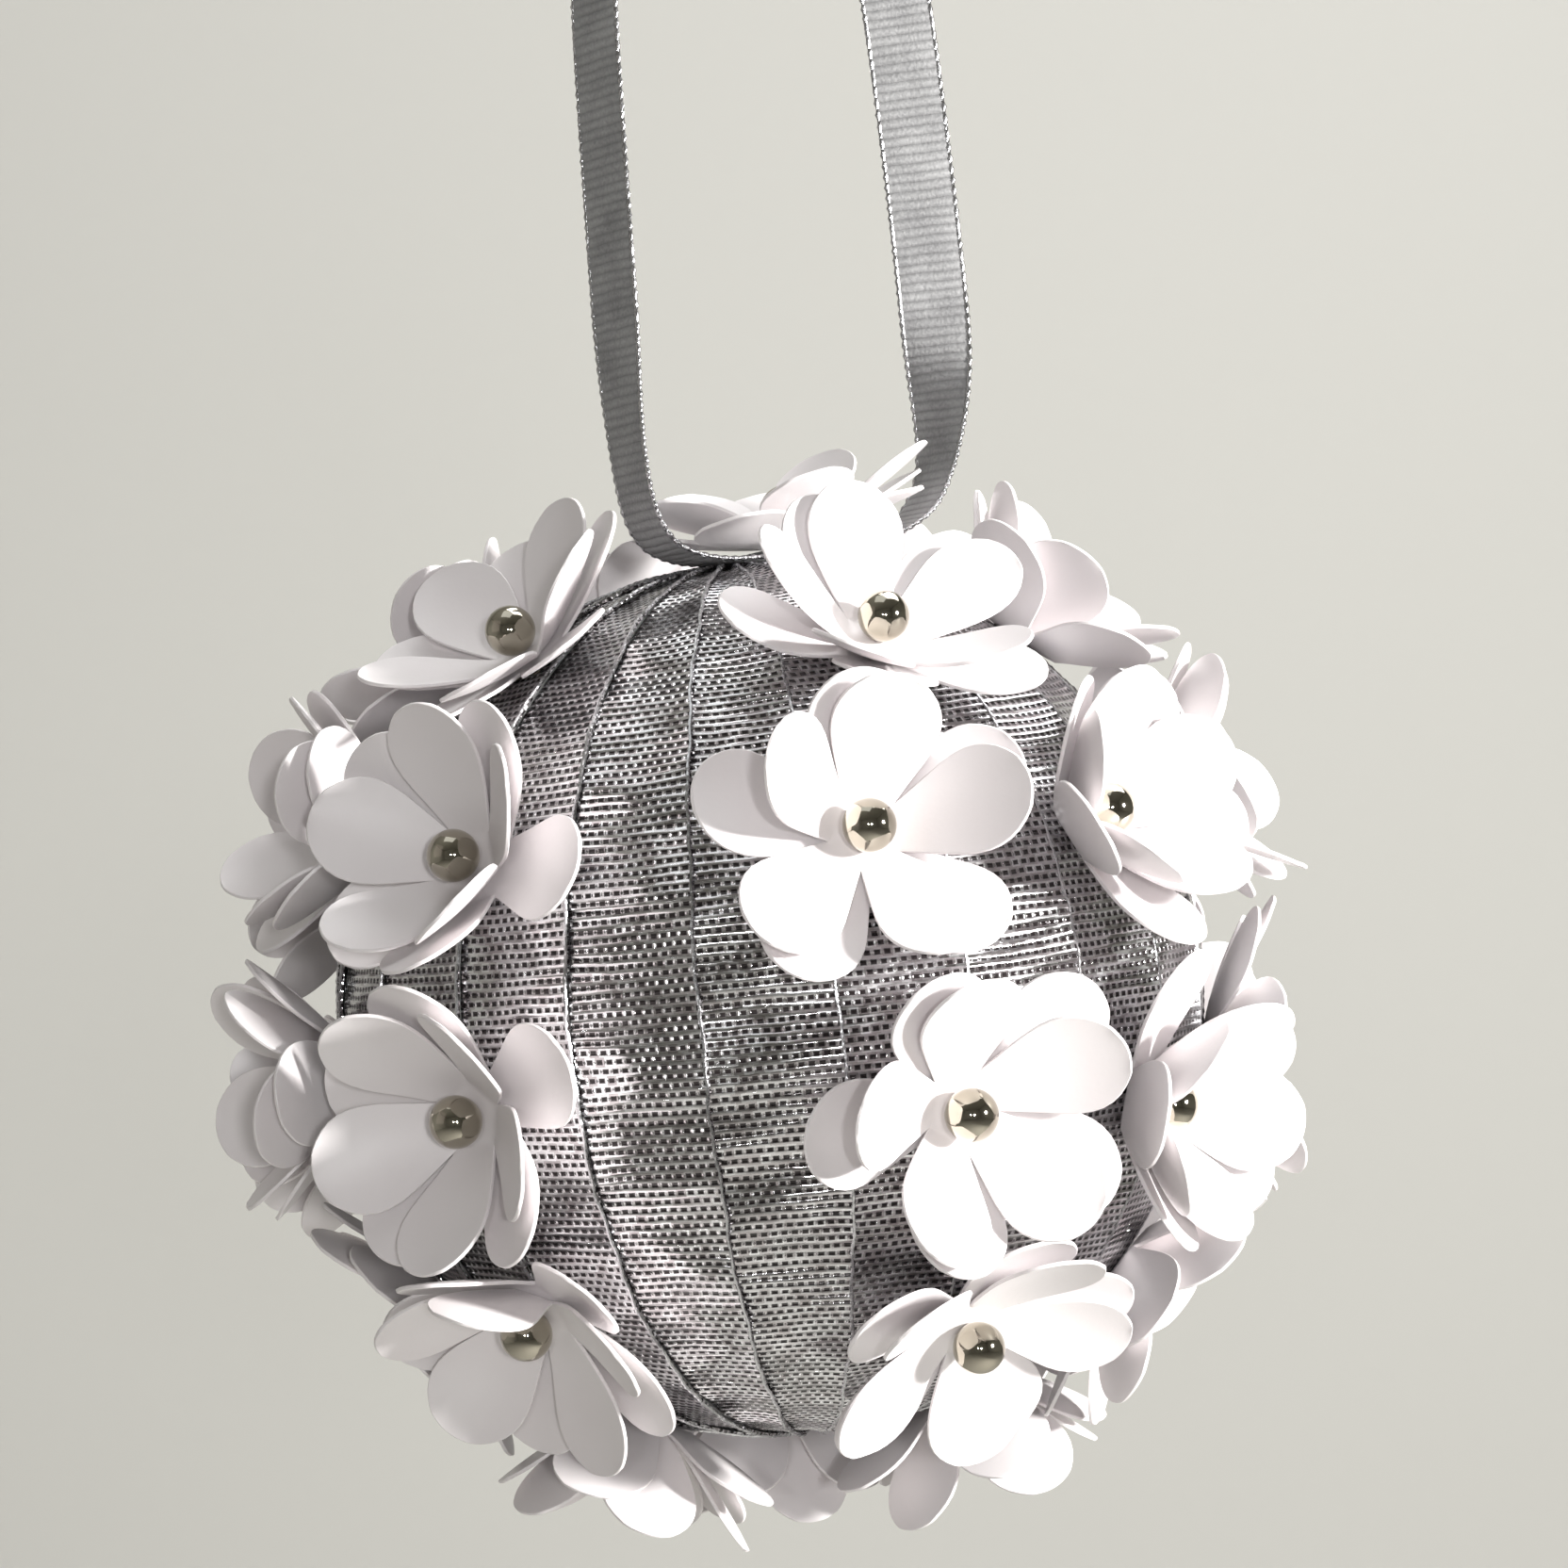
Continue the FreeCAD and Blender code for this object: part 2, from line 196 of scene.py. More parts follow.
def dress(piece: bpy.types.Object, material: bpy.types.Material, slot: Slot, *nodes: str) -> None:
    """Give a finished piece its material and its place on the ornament.

    Args:
        piece: The finished piece, at the origin.
        material: What it is made of.
        slot: The record's finish that it takes; not used.
        *nodes: The frame's nodes that it stands for.
    """
    piece.data.materials.clear()
    piece.data.materials.append(material)
    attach(piece, BODY)
    if nodes:
        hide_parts(*nodes)
    piece.data.calc_loop_triangles()
    log.info("%s: %d triangles", piece.name, len(piece.data.loop_triangles))


def skin(name: str, rings: list[list[Vector]], maps: list[list[Pair]]) -> bpy.types.Object:
    """Skin rings of points into one closed piece.

    Args:
        name: The piece's name.
        rings: The rings, in order, with the same number of points each.
        maps: The flat map's place of each point, in millimetres.

    Returns:
        The piece, with its ends closed.
    """
    size = len(rings[0])
    points = [point for ring in rings for point in ring]
    faces = [tuple(range(size))[::-1], tuple(range(len(points) - size, len(points)))]
    for start in range(0, len(points) - size, size):
        for side in range(size):
            after = (side + 1) % size
            faces.append((start + side, start + after, start + size + after, start + size + side))
    mesh = bpy.data.meshes.new(name)
    mesh.from_pydata(points, [], faces)
    layer = mesh.uv_layers.new(name="UVMap")
    flat = [place for ring in maps for place in ring]
    for loop in mesh.loops:
        layer.data[loop.index].uv = flat[loop.vertex_index]
    piece = bpy.data.objects.new(name, mesh)
    bpy.context.scene.collection.objects.link(piece)
    Bench.edit(piece)
    bpy.ops.mesh.select_all(action="SELECT")
    bpy.ops.mesh.normals_make_consistent(inside=False)
    Bench.clear()
    return piece


@dataclass
class Wiring:
    """A node tree being wired up."""

    tree: bpy.types.NodeTree

    def add(self, kind: str, **inputs: object) -> bpy.types.Node:
        """Add a node, setting or linking its inputs by name.

        Args:
            kind: Blender's name for the node, without its ShaderNode start.
            **inputs: Values or output sockets. A name's underscores stand for spaces.

        Returns:
            The new node.
        """
        node = self.tree.nodes.new(f"ShaderNode{kind}")
        for name, value in inputs.items():
            self.feed(node.inputs[name.replace("_", " ")], value)
        return node

    def feed(self, socket: bpy.types.NodeSocket, value: object) -> None:
        """Link an output to a socket, or set the socket's own value."""
        if isinstance(value, bpy.types.NodeSocket):
            self.tree.links.new(value, socket)
        else:
            socket.default_value = value

    def math(self, action: str, *values: object) -> bpy.types.NodeSocket:
        """The result of one sum on numbers or sockets."""
        node = self.tree.nodes.new("ShaderNodeMath")
        node.operation = action
        for socket, value in zip(node.inputs, values):
            self.feed(socket, value)
        return node.outputs[0]

    def blend(self, share: object, first: object, second: object) -> bpy.types.NodeSocket:
        """A colour between two others, at a share that changes over the surface."""
        node = self.tree.nodes.new("ShaderNodeMix")
        node.data_type = "RGBA"
        for number, value in ((0, share), (6, first), (7, second)):
            self.feed(node.inputs[number], value)
        return node.outputs[2]

    def span(self, value: object, low: float, high: float,
             start: float = 0.0, end: float = 1.0) -> bpy.types.NodeSocket:
        """A value moved from one range to another and held inside it."""
        node = self.add("MapRange", Value=value, From_Min=start, From_Max=end, To_Min=low, To_Max=high)
        return node.outputs["Result"]


class Effects:
    """The shader node groups that several materials share, each built when first asked for."""

    @staticmethod
    def group(
        name: str, takes: dict[str, object], gives: tuple[str, ...],
    ) -> tuple[bpy.types.NodeTree, Wiring, bpy.types.Node, bpy.types.Node]:
        """Start an empty node group.

        Args:
            name: The group's name.
            takes: Its inputs and their first values; None stands for a vector.
            gives: Its outputs.

        Returns:
            The group, its wiring and its two end nodes.
        """
        tree = bpy.data.node_groups.new(name, "ShaderNodeTree")
        for title, value in takes.items():
            kind = "NodeSocketVector" if value is None else "NodeSocketFloat"
            socket = tree.interface.new_socket(title, in_out="INPUT", socket_type=kind)
            if value is not None:
                socket.default_value = value
        for title in gives:
            tree.interface.new_socket(title, in_out="OUTPUT", socket_type="NodeSocketFloat")
        return tree, Wiring(tree), tree.nodes.new("NodeGroupInput"), tree.nodes.new("NodeGroupOutput")

    @staticmethod
    def weave() -> bpy.types.NodeTree:
        """Woven threads in staggered rows, from a flat map in millimetres.

        Returns:
            A group that gives the threads' height, whether a point lies in a gap, and each
            cell's own number.
        """
        known = bpy.data.node_groups.get("woven_cells")
        if known:
            return known
        tree, wire, start, end = Effects.group(
            "woven_cells",
            {"Map": None, "Cell Width": 0.75, "Cell Length": 0.75, "Stagger": 0.5, "Wander": 0.035},
            ("Height", "Gap", "Thread"),
        )
        drift = wire.add("TexNoise", Vector=start.outputs["Map"], Scale=0.35, Detail=2.0)
        wander = wire.math("MULTIPLY", start.outputs["Wander"], 10.0)
        shift = wire.math("MULTIPLY", wire.math("SUBTRACT", drift.outputs[0], 0.5), wander)
        place = wire.add("SeparateXYZ", Vector=start.outputs["Map"])
        along = wire.math("DIVIDE", place.outputs["Y"], start.outputs["Cell Length"])
        along = wire.math("ADD", along, shift)
        row = wire.math("FLOOR", along)
        odd = wire.math("MODULO", wire.math("ABSOLUTE", row), 2.0)
        across = wire.math("DIVIDE", place.outputs["X"], start.outputs["Cell Width"])
        across = wire.math("ADD", across, shift)
        across = wire.math("ADD", across, wire.math("MULTIPLY", odd, start.outputs["Stagger"]))
        column = wire.math("FLOOR", across)
        far, clear = [], []
        for value, whole, open_share in ((across, column, 0.6), (along, row, 0.54)):
            offset = wire.math("SUBTRACT", wire.math("SUBTRACT", value, whole), 0.5)
            far.append(wire.math("MULTIPLY", wire.math("ABSOLUTE", offset), 2.0))
            clear.append(wire.math("SUBTRACT", far[-1], open_share))
        bar = wire.math("SUBTRACT", 1.0, wire.math("POWER", wire.math("SUBTRACT", 1.0, far[1]), 2.0))
        post = wire.math("MULTIPLY", wire.math("POWER", far[0], 3.0), 0.75)
        height = wire.math("MAXIMUM", bar, post)
        edge = wire.math("MAXIMUM", *clear)
        cell = wire.add("CombineXYZ", X=column, Y=row)
        own = wire.tree.nodes.new("ShaderNodeTexWhiteNoise")
        own.noise_dimensions = "2D"
        wire.feed(own.inputs["Vector"], cell.outputs[0])
        wire.feed(end.inputs["Height"], height)
        wire.feed(end.inputs["Gap"], wire.span(edge, 1.0, 0.0, -0.1, 0.1))
        wire.feed(end.inputs["Thread"], own.outputs["Value"])
        return tree

    @staticmethod
    def grain() -> bpy.types.NodeTree:
        """Fine fibre and slow unevenness, from object coordinates.

        Returns:
            A group that gives the fine grain and the slow change, both about one half.
        """
        known = bpy.data.node_groups.get("fine_grain")
        if known:
            return known
        tree, wire, start, end = Effects.group(
            "fine_grain", {"Place": None, "Fine": 2500.0, "Slow": 90.0}, ("Grain", "Drift"))
        place = start.outputs["Place"]
        fine = wire.add("TexNoise", Vector=place, Scale=start.outputs["Fine"], Detail=3.0)
        slow = wire.add("TexNoise", Vector=place, Scale=start.outputs["Slow"], Detail=1.0)
        wire.feed(end.inputs["Grain"], fine.outputs[0])
        wire.feed(end.inputs["Drift"], slow.outputs[0])
        return tree


@dataclass(frozen=True)
class Finish:
    """What every finish shares: its name, its grain and the steps that build a material."""

    name: str = "finish"
    grain: Pair = (2500.0, 90.0)
    rough: Pair = (0.4, 0.6)

    def start(self) -> tuple[bpy.types.Material, Wiring, bpy.types.Node]:
        """A new material, its wiring and its surface shader."""
        material = bpy.data.materials.new(self.name)
        material.use_nodes = True
        wire = Wiring(material.node_tree)
        return material, wire, material.node_tree.nodes["Principled BSDF"]

    def use(self, wire: Wiring, tree: bpy.types.NodeTree, **inputs: object) -> bpy.types.Node:
        """Place a shared group in a material with this finish's own values."""
        node = wire.tree.nodes.new("ShaderNodeGroup")
        node.node_tree = tree
        for name, value in inputs.items():
            wire.feed(node.inputs[name.replace("_", " ")], value)
        return node

    def coat(self, wire: Wiring, surface: bpy.types.Node, dark: Colour,
             light: Colour) -> bpy.types.Node:
        """Vary a surface's colour slowly and its roughness finely.

        Args:
            wire: The material's wiring.
            surface: Its surface shader.
            dark: The darker colour.
            light: The lighter colour.

        Returns:
            The grain that the surface follows.
        """
        place = wire.add("TexCoord").outputs["Object"]
        grain = self.use(wire, Effects.grain(), Place=place, Fine=self.grain[0], Slow=self.grain[1])
        wire.feed(surface.inputs["Base Color"], wire.blend(grain.outputs["Drift"], dark, light))
        wire.feed(surface.inputs["Roughness"], wire.span(grain.outputs["Grain"], *self.rough))
        return grain

    def emboss(self, wire: Wiring, surface: bpy.types.Node, height: object, strength: float,
               depth: float) -> bpy.types.Node:
        """Give a surface relief.

        Args:
            wire: The material's wiring.
            surface: Its surface shader.
            height: The relief's height, between 0 and 1.
            strength: How strongly it shows.
            depth: How deep it is, in metres.

        Returns:
            The relief's node.
        """
        bump = wire.add("Bump", Strength=strength, Distance=depth, Height=height)
        wire.feed(surface.inputs["Normal"], bump.outputs[0])
        return bump


@dataclass(frozen=True)
class PearlCard(Finish):
    """Smooth pearly card with a faint fibre and soft sheen."""

    name: str = "pearl_card"
    light: Colour = (0.87, 0.84, 0.845, 1.0)
    shade: Colour = (0.77, 0.72, 0.73, 1.0)
    grain: Pair = (2600.0, 120.0)
    rough: Pair = (0.36, 0.52)

    def build(self) -> bpy.types.Material:
        """The card's material."""
        material, wire, surface = self.start()
        grain = self.coat(wire, surface, self.shade, self.light)
        surface.inputs["Coat Weight"].default_value = 0.2
        surface.inputs["Coat Roughness"].default_value = 0.32
        surface.inputs["Sheen Weight"].default_value = 0.06
        self.emboss(wire, surface, grain.outputs["Grain"], 0.35, 0.02 * MM)
        return material


@dataclass(frozen=True)
class WovenMetal(Finish):
    """Silver ribbon woven from flat metallic thread, with painted shade, near black, in the holes
    between its threads.
    """

    name: str = "woven_silver"
    cell_width: float = 0.76
    cell_length: float = 0.68
    bright: Colour = (0.86, 0.86, 0.88, 1.0)
    dull: Colour = (0.46, 0.43, 0.44, 1.0)
    # The near-black gap colour is painted shade for the holes between the threads.
    gap: Colour = (0.03, 0.024, 0.025, 1.0)
    rough: Pair = (0.1, 0.24)
    relief: float = 0.1 * MM
    wave: float = 5.0 * MM
    wave_scale: tuple[float, float, float] = (0.05, 0.14, 0.1)

    def build(self) -> bpy.types.Material:
        """The wrapping ribbon's material."""
        material, wire, surface = self.start()
        flat = wire.add("TexCoord").outputs["UV"]
        weave = self.use(wire, Effects.weave(), Map=flat,
                         Cell_Width=self.cell_width, Cell_Length=self.cell_length)
        thread = wire.blend(weave.outputs["Thread"], self.dull, self.bright)
        # The holes, where the weave lies lowest, take the near-black colour and less metal: painted
        # shade.
        wire.feed(surface.inputs["Base Color"], wire.blend(weave.outputs["Gap"], thread, self.gap))
        wire.feed(surface.inputs["Metallic"], wire.span(weave.outputs["Gap"], 1.0, 0.4))
        wire.feed(surface.inputs["Roughness"], wire.span(weave.outputs["Thread"], *self.rough))
        lean = wire.math("MULTIPLY", weave.outputs["Thread"], 0.35)
        lean = wire.math("ADD", weave.outputs["Height"], lean)
        bump = self.emboss(wire, surface, lean, 1.0, self.relief)
        stretch = wire.add("Mapping", Vector=flat, Scale=self.wave_scale)
        waves = wire.add("TexNoise", Vector=stretch.outputs[0], Scale=1.0, Detail=1.0)
        sway = wire.add("Bump", Strength=1.0, Distance=self.wave, Height=waves.outputs[0])
        wire.feed(bump.inputs["Normal"], sway.outputs[0])
        return material


@dataclass(frozen=True)
class RibbedCloth(Finish):
    """Grey ribbon with fine ribs across it, with painted shade in the grooves between the ribs."""

    name: str = "ribbed_grey"
    rib: float = 0.78
    light: Colour = (0.42, 0.42, 0.425, 1.0)
    dark: Colour = (0.15, 0.15, 0.155, 1.0)
    grain: Pair = (3800.0, 260.0)
    rough: Pair = (0.5, 0.75)
    relief: float = 0.14 * MM
    cell_width: float = 60.0
    wander: float = 0.03

    def build(self) -> bpy.types.Material:
        """The hanging ribbon's material."""
        material, wire, surface = self.start()
        flat = wire.add("TexCoord")
        weave = self.use(wire, Effects.weave(), Map=flat.outputs["UV"], Cell_Width=self.cell_width,
                         Cell_Length=self.rib, Stagger=0.0, Wander=self.wander)
        fibre = self.use(wire, Effects.grain(), Place=flat.outputs["Object"],
                         Fine=self.grain[0], Slow=self.grain[1])
        tone = wire.math("ADD", fibre.outputs["Grain"], fibre.outputs["Drift"])
        tone = wire.span(wire.math("MULTIPLY", tone, 0.5), 0.3, 1.1, 0.3, 0.7)
        # Darker where the ribs lie low: painted shade in the grooves between the ribs.
        tone = wire.math("MULTIPLY", tone, wire.span(weave.outputs["Height"], 0.55, 1.0))
        tone = wire.blend(wire.span(tone, 0.0, 1.0), self.dark, self.light)
        wire.feed(surface.inputs["Base Color"], tone)
        wire.feed(surface.inputs["Roughness"], wire.span(fibre.outputs["Grain"], *self.rough))
        surface.inputs["Metallic"].default_value = 0.25
        surface.inputs["Sheen Weight"].default_value = 0.15
        height = wire.math("MULTIPLY", fibre.outputs["Grain"], 0.5)
        height = wire.math("ADD", weave.outputs["Height"], height)
        self.emboss(wire, surface, height, 0.8, self.relief)
        return material


@dataclass(frozen=True)
class Tinsel(Finish):
    """Bright metallic thread."""

    name: str = "tinsel_thread"
    colour: Colour = (0.78, 0.78, 0.80, 1.0)
    worn: Colour = (0.30, 0.30, 0.31, 1.0)
    grain: Pair = (2200.0, 700.0)
    rough: Pair = (0.12, 0.4)

    def build(self) -> bpy.types.Material:
        """The thread's material."""
        material, wire, surface = self.start()
        grain = self.coat(wire, surface, self.worn, self.colour)
        surface.inputs["Metallic"].default_value = 1.0
        self.emboss(wire, surface, grain.outputs["Grain"], 0.7, 0.06 * MM)
        return material


@dataclass(frozen=True)
class PolishedMetal(Finish):
    """Polished plating with a faint warm tone."""

    name: str = "polished_plating"
    colour: Colour = (0.46, 0.43, 0.36, 1.0)
    deep: Colour = (0.40, 0.365, 0.30, 1.0)
    grain: Pair = (1400.0, 240.0)
    rough: Pair = (0.035, 0.085)

    def build(self) -> bpy.types.Material:
        """The pin heads' material."""
        material, wire, surface = self.start()
        grain = self.coat(wire, surface, self.deep, self.colour)
        surface.inputs["Metallic"].default_value = 1.0
        self.emboss(wire, surface, grain.outputs["Drift"], 0.15, 0.01 * MM)
        return material


@dataclass(frozen=True)
class Foam(Finish):
    """White beaded foam, with painted shade in the grooves between its beads, which only shows if the
    wrapping is taken off.
    """

    name: str = "white_foam"
    light: Colour = (0.9, 0.9, 0.88, 1.0)
    # The darker seam colour is painted shade for the grooves between the beads.
    seam: Colour = (0.74, 0.74, 0.72, 1.0)

    def build(self) -> bpy.types.Material:
        """The ball's material."""
        material, wire, surface = self.start()
        place = wire.add("TexCoord").outputs["Object"]
        beads = wire.tree.nodes.new("ShaderNodeTexVoronoi")
        beads.feature = "DISTANCE_TO_EDGE"
        wire.feed(beads.inputs["Vector"], place)
        beads.inputs["Scale"].default_value = 320.0
        # The colour darkens towards each bead's edge, where the relief sinks into a groove: painted
        # shade.
        edge = wire.span(beads.outputs["Distance"], 0.0, 1.0, 0.0, 0.12)
        wire.feed(surface.inputs["Base Color"], wire.blend(edge, self.seam, self.light))
        wire.feed(surface.inputs["Roughness"], wire.span(edge, 0.8, 0.6))
        self.emboss(wire, surface, edge, 0.6, 0.2 * MM)
        return material


@dataclass(frozen=True)
class Paint(Finish):
    """Plain matt paint for the studio's sweep."""

    name: str = "pale_sweep"
    colour: Colour = (0.62, 0.615, 0.585, 1.0)
    grain: Pair = (30.0, 2.0)
    rough: Pair = (0.9, 0.9)

    def build(self) -> bpy.types.Material:
        """The sweep's material."""
        material, wire, surface = self.start()
        darker = tuple(part * 0.96 for part in self.colour[:3]) + (1.0,)
        self.coat(wire, surface, darker, self.colour)
        return material


@dataclass(frozen=True)
class Flower:
    """One flower's place and how far each of its petals is lifted, as the frame's solids have them.

    Longitude 0 faces the viewer and grows to the right, and spin turns the first upper petal.
    """

    node: str
    longitude: float
    latitude: float
    spin: float
    twist: float
    under: tuple[int, ...]
    upper: tuple[int, ...]


FLOWERS = (
    Flower("flower_top", 0, 90, 12, 36, (-6, 7, 22, 14, 4), (9, 12, 27, 27, 20)),
    Flower("flower_crown_1", 28, 50, 13, 14, (16, 27, 7, 20, 7), (21, 32, 32, 25, 25)),
    Flower("flower_crown_2", 86, 50, 40, 40, (43, 31, 20, 27, 22), (48, 48, 36, 32, 32)),
    Flower("flower_crown_3", 146, 50, 12, 30, (34, 42, 7, 7, 7), (39, 47, 47, 12, 12)),
    Flower("flower_crown_4", 204, 50, 55, 36, (35, 26, 24, 9, 33), (40, 40, 31, 29, 38)),
    Flower("flower_crown_5", 256, 50, 30, 14, (32, 24, 7, 27, 7), (37, 37, 29, 32, 32)),
    Flower("flower_crown_6", -53, 55, 20, 40, (24, 19, 19, 7, 7), (29, 29, 27, 24, 12)),
    Flower("flower_upper_1", 14, 21, 3, 14, (24, 39, 7, 7, 18), (29, 44, 44, 12, 23)),
    Flower("flower_upper_2", 49, 20, 13, 40, (34, 43, 40, 22, 33), (39, 48, 48, 45, 38)),
    Flower("flower_upper_3", 83, 22, 52, 30, (41, 20, 11, 29, 35), (46, 46, 25, 34, 40)),
    Flower("flower_upper_4", 117, 20, 8, 36, (22, 13, 18, 7, 7), (27, 27, 23, 23, 12)),
    Flower("flower_upper_5", 151, 20, 33, 14, (46, 48, 38, 37, 37), (51, 53, 53, 43, 42)),
    Flower("flower_upper_6", 185, 20, 60, 40, (15, 14, 7, 7, 8), (21, 20, 19, 12, 13)),
    Flower("flower_upper_7", 219, 20, 22, 30, (32, 37, 38, 37, 38), (43, 42, 43, 43, 43)),
    Flower("flower_upper_8", 253, 20, 47, 36, (38, 7, 7, 18, 12), (43, 43, 12, 23, 23)),
    Flower("flower_upper_9", -72, 27, 10, 14, (45, 47, 38, 17, 27), (50, 52, 52, 43, 32)),
    Flower("flower_upper_10", -39, 22, 24, 40, (30, 33, 7, 36, 7), (35, 38, 38, 41, 41)),
    Flower("flower_lower_1", 22, -12, 25, 14, (7, 24, 7, 33, 22), (27, 29, 29, 38, 38)),
    Flower("flower_lower_2", 54, -15, 62, 40, (15, 39, 39, 40, 37), (42, 44, 44, 45, 45)),
    Flower("flower_lower_3", 87, -12, 18, 30, (7, 7, 12, 34, 7), (12, 12, 17, 39, 39)),
    Flower("flower_lower_4", 121, -12, 44, 36, (37, 34, 45, 48, 36), (42, 42, 50, 53, 53)),
    Flower("flower_lower_5", 155, -12, 70, 14, (8, 7, 18, 23, 7), (13, 13, 23, 28, 28)),
    Flower("flower_lower_6", 189, -12, 27, 40, (37, 33, 35, 34, 37), (42, 42, 40, 40, 42)),
    Flower("flower_lower_7", 222, -12, 5, 30, (7, 10, 11, 36, 18), (23, 15, 16, 41, 41)),
    Flower("flower_lower_8", 255, -10, 38, 36, (40, 30, 33, 40, 23), (45, 45, 38, 45, 45)),
    Flower("flower_lower_9", -71, -4, 58, 14, (34, 24, 42, 41, 40), (45, 39, 47, 47, 46)),
    Flower("flower_lower_10", -39, -8, 52, 40, (30, 7, 34, 26, 7), (35, 35, 39, 39, 31)),
    Flower("flower_base_1", 29, -44, 70, 14, (12, 7, 7, 7, 7), (17, 17, 12, 12, 12)),
    Flower("flower_base_2", 77, -42, 63, 40, (16, 22, 7, 18, 7), (23, 27, 27, 23, 23)),
    Flower("flower_base_3", 125, -42, 60, 30, (9, 7, 15, 7, 7), (14, 14, 20, 20, 12)),
    Flower("flower_base_4", 173, -42, 14, 36, (7, 23, 28, 30, 24), (29, 28, 33, 35, 35)),
    Flower("flower_base_5", 222, -42, 36, 14, (14, 22, 9, 26, 10), (19, 27, 27, 31, 31)),
    Flower("flower_base_6", 274, -38, 66, 40, (7, 7, 7, 7, 7), (12, 12, 12, 17, 12)),
    Flower("flower_base_7", -42, -36, 69, 30, (38, 26, 15, 7, 12), (43, 43, 31, 20, 17)),
    Flower("flower_foot_1", 101, -70, 20, 14, (41, 38, 27, 7, 34), (46, 46, 43, 32, 39)),
    Flower("flower_foot_2", 197, -69, 45, 40, (36, 32, 31, 16, 34), (41, 41, 37, 36, 39)),
    Flower("flower_foot_3", -66, -66, 8, 30, (31, 42, 29, 27, 12), (36, 47, 47, 34, 32)),
)


@dataclass
class Ball:
    """The wrapped ball: where its middle is and how thick it is wrapped."""

    radius: float = 35.0 * MM
    wrapped: float = 35.6 * MM
    centre: Vector = field(default_factory=Vector)

    @classmethod
    def found(cls) -> Ball:
        """The ball where the frame has it."""
        low, high = (Vector(corner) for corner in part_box("foam_ball"))
        return cls(centre=(low + high) / 2)

    def outward(self, longitude: float, latitude: float) -> Vector:
        """The direction from the ball's middle to a longitude and latitude."""
        turn, rise = math.radians(longitude), math.radians(latitude)
        level = math.cos(rise)
        return Vector((math.sin(turn) * level, -math.cos(turn) * level, math.sin(rise)))


@dataclass
class TopSeat:
    """The top flower's seat, on the stacked ends of the hanging ribbon."""

    base: Vector = field(default_factory=lambda: Vector((5.5, 2.0, 37.321)) * MM)
    lean: float = 12.0

    def axis(self) -> Vector:
        """The way that the top flower's pin points."""
        turn = math.radians(self.lean)
        return Vector((-math.sin(turn), 0.0, math.cos(turn)))


@dataclass
class Seats:
    """Where every flower sits on the ball."""

    ball: Ball
    top: TopSeat = field(default_factory=TopSeat)

    def place(self, flower: Flower) -> Matrix:
        """The flower's own frame: its middle on the wrapping and its pin along Z."""
        if flower.node == "flower_top":
            axis, base = self.top.axis(), self.top.base
        else:
            axis = self.ball.outward(flower.longitude, flower.latitude)
            base = axis * self.ball.wrapped
        east = UP.cross(axis).normalized()
        north = axis.cross(east)
        turned = Matrix((east, north, axis)).transposed().to_4x4()
        return Matrix.Translation(self.ball.centre + base) @ turned


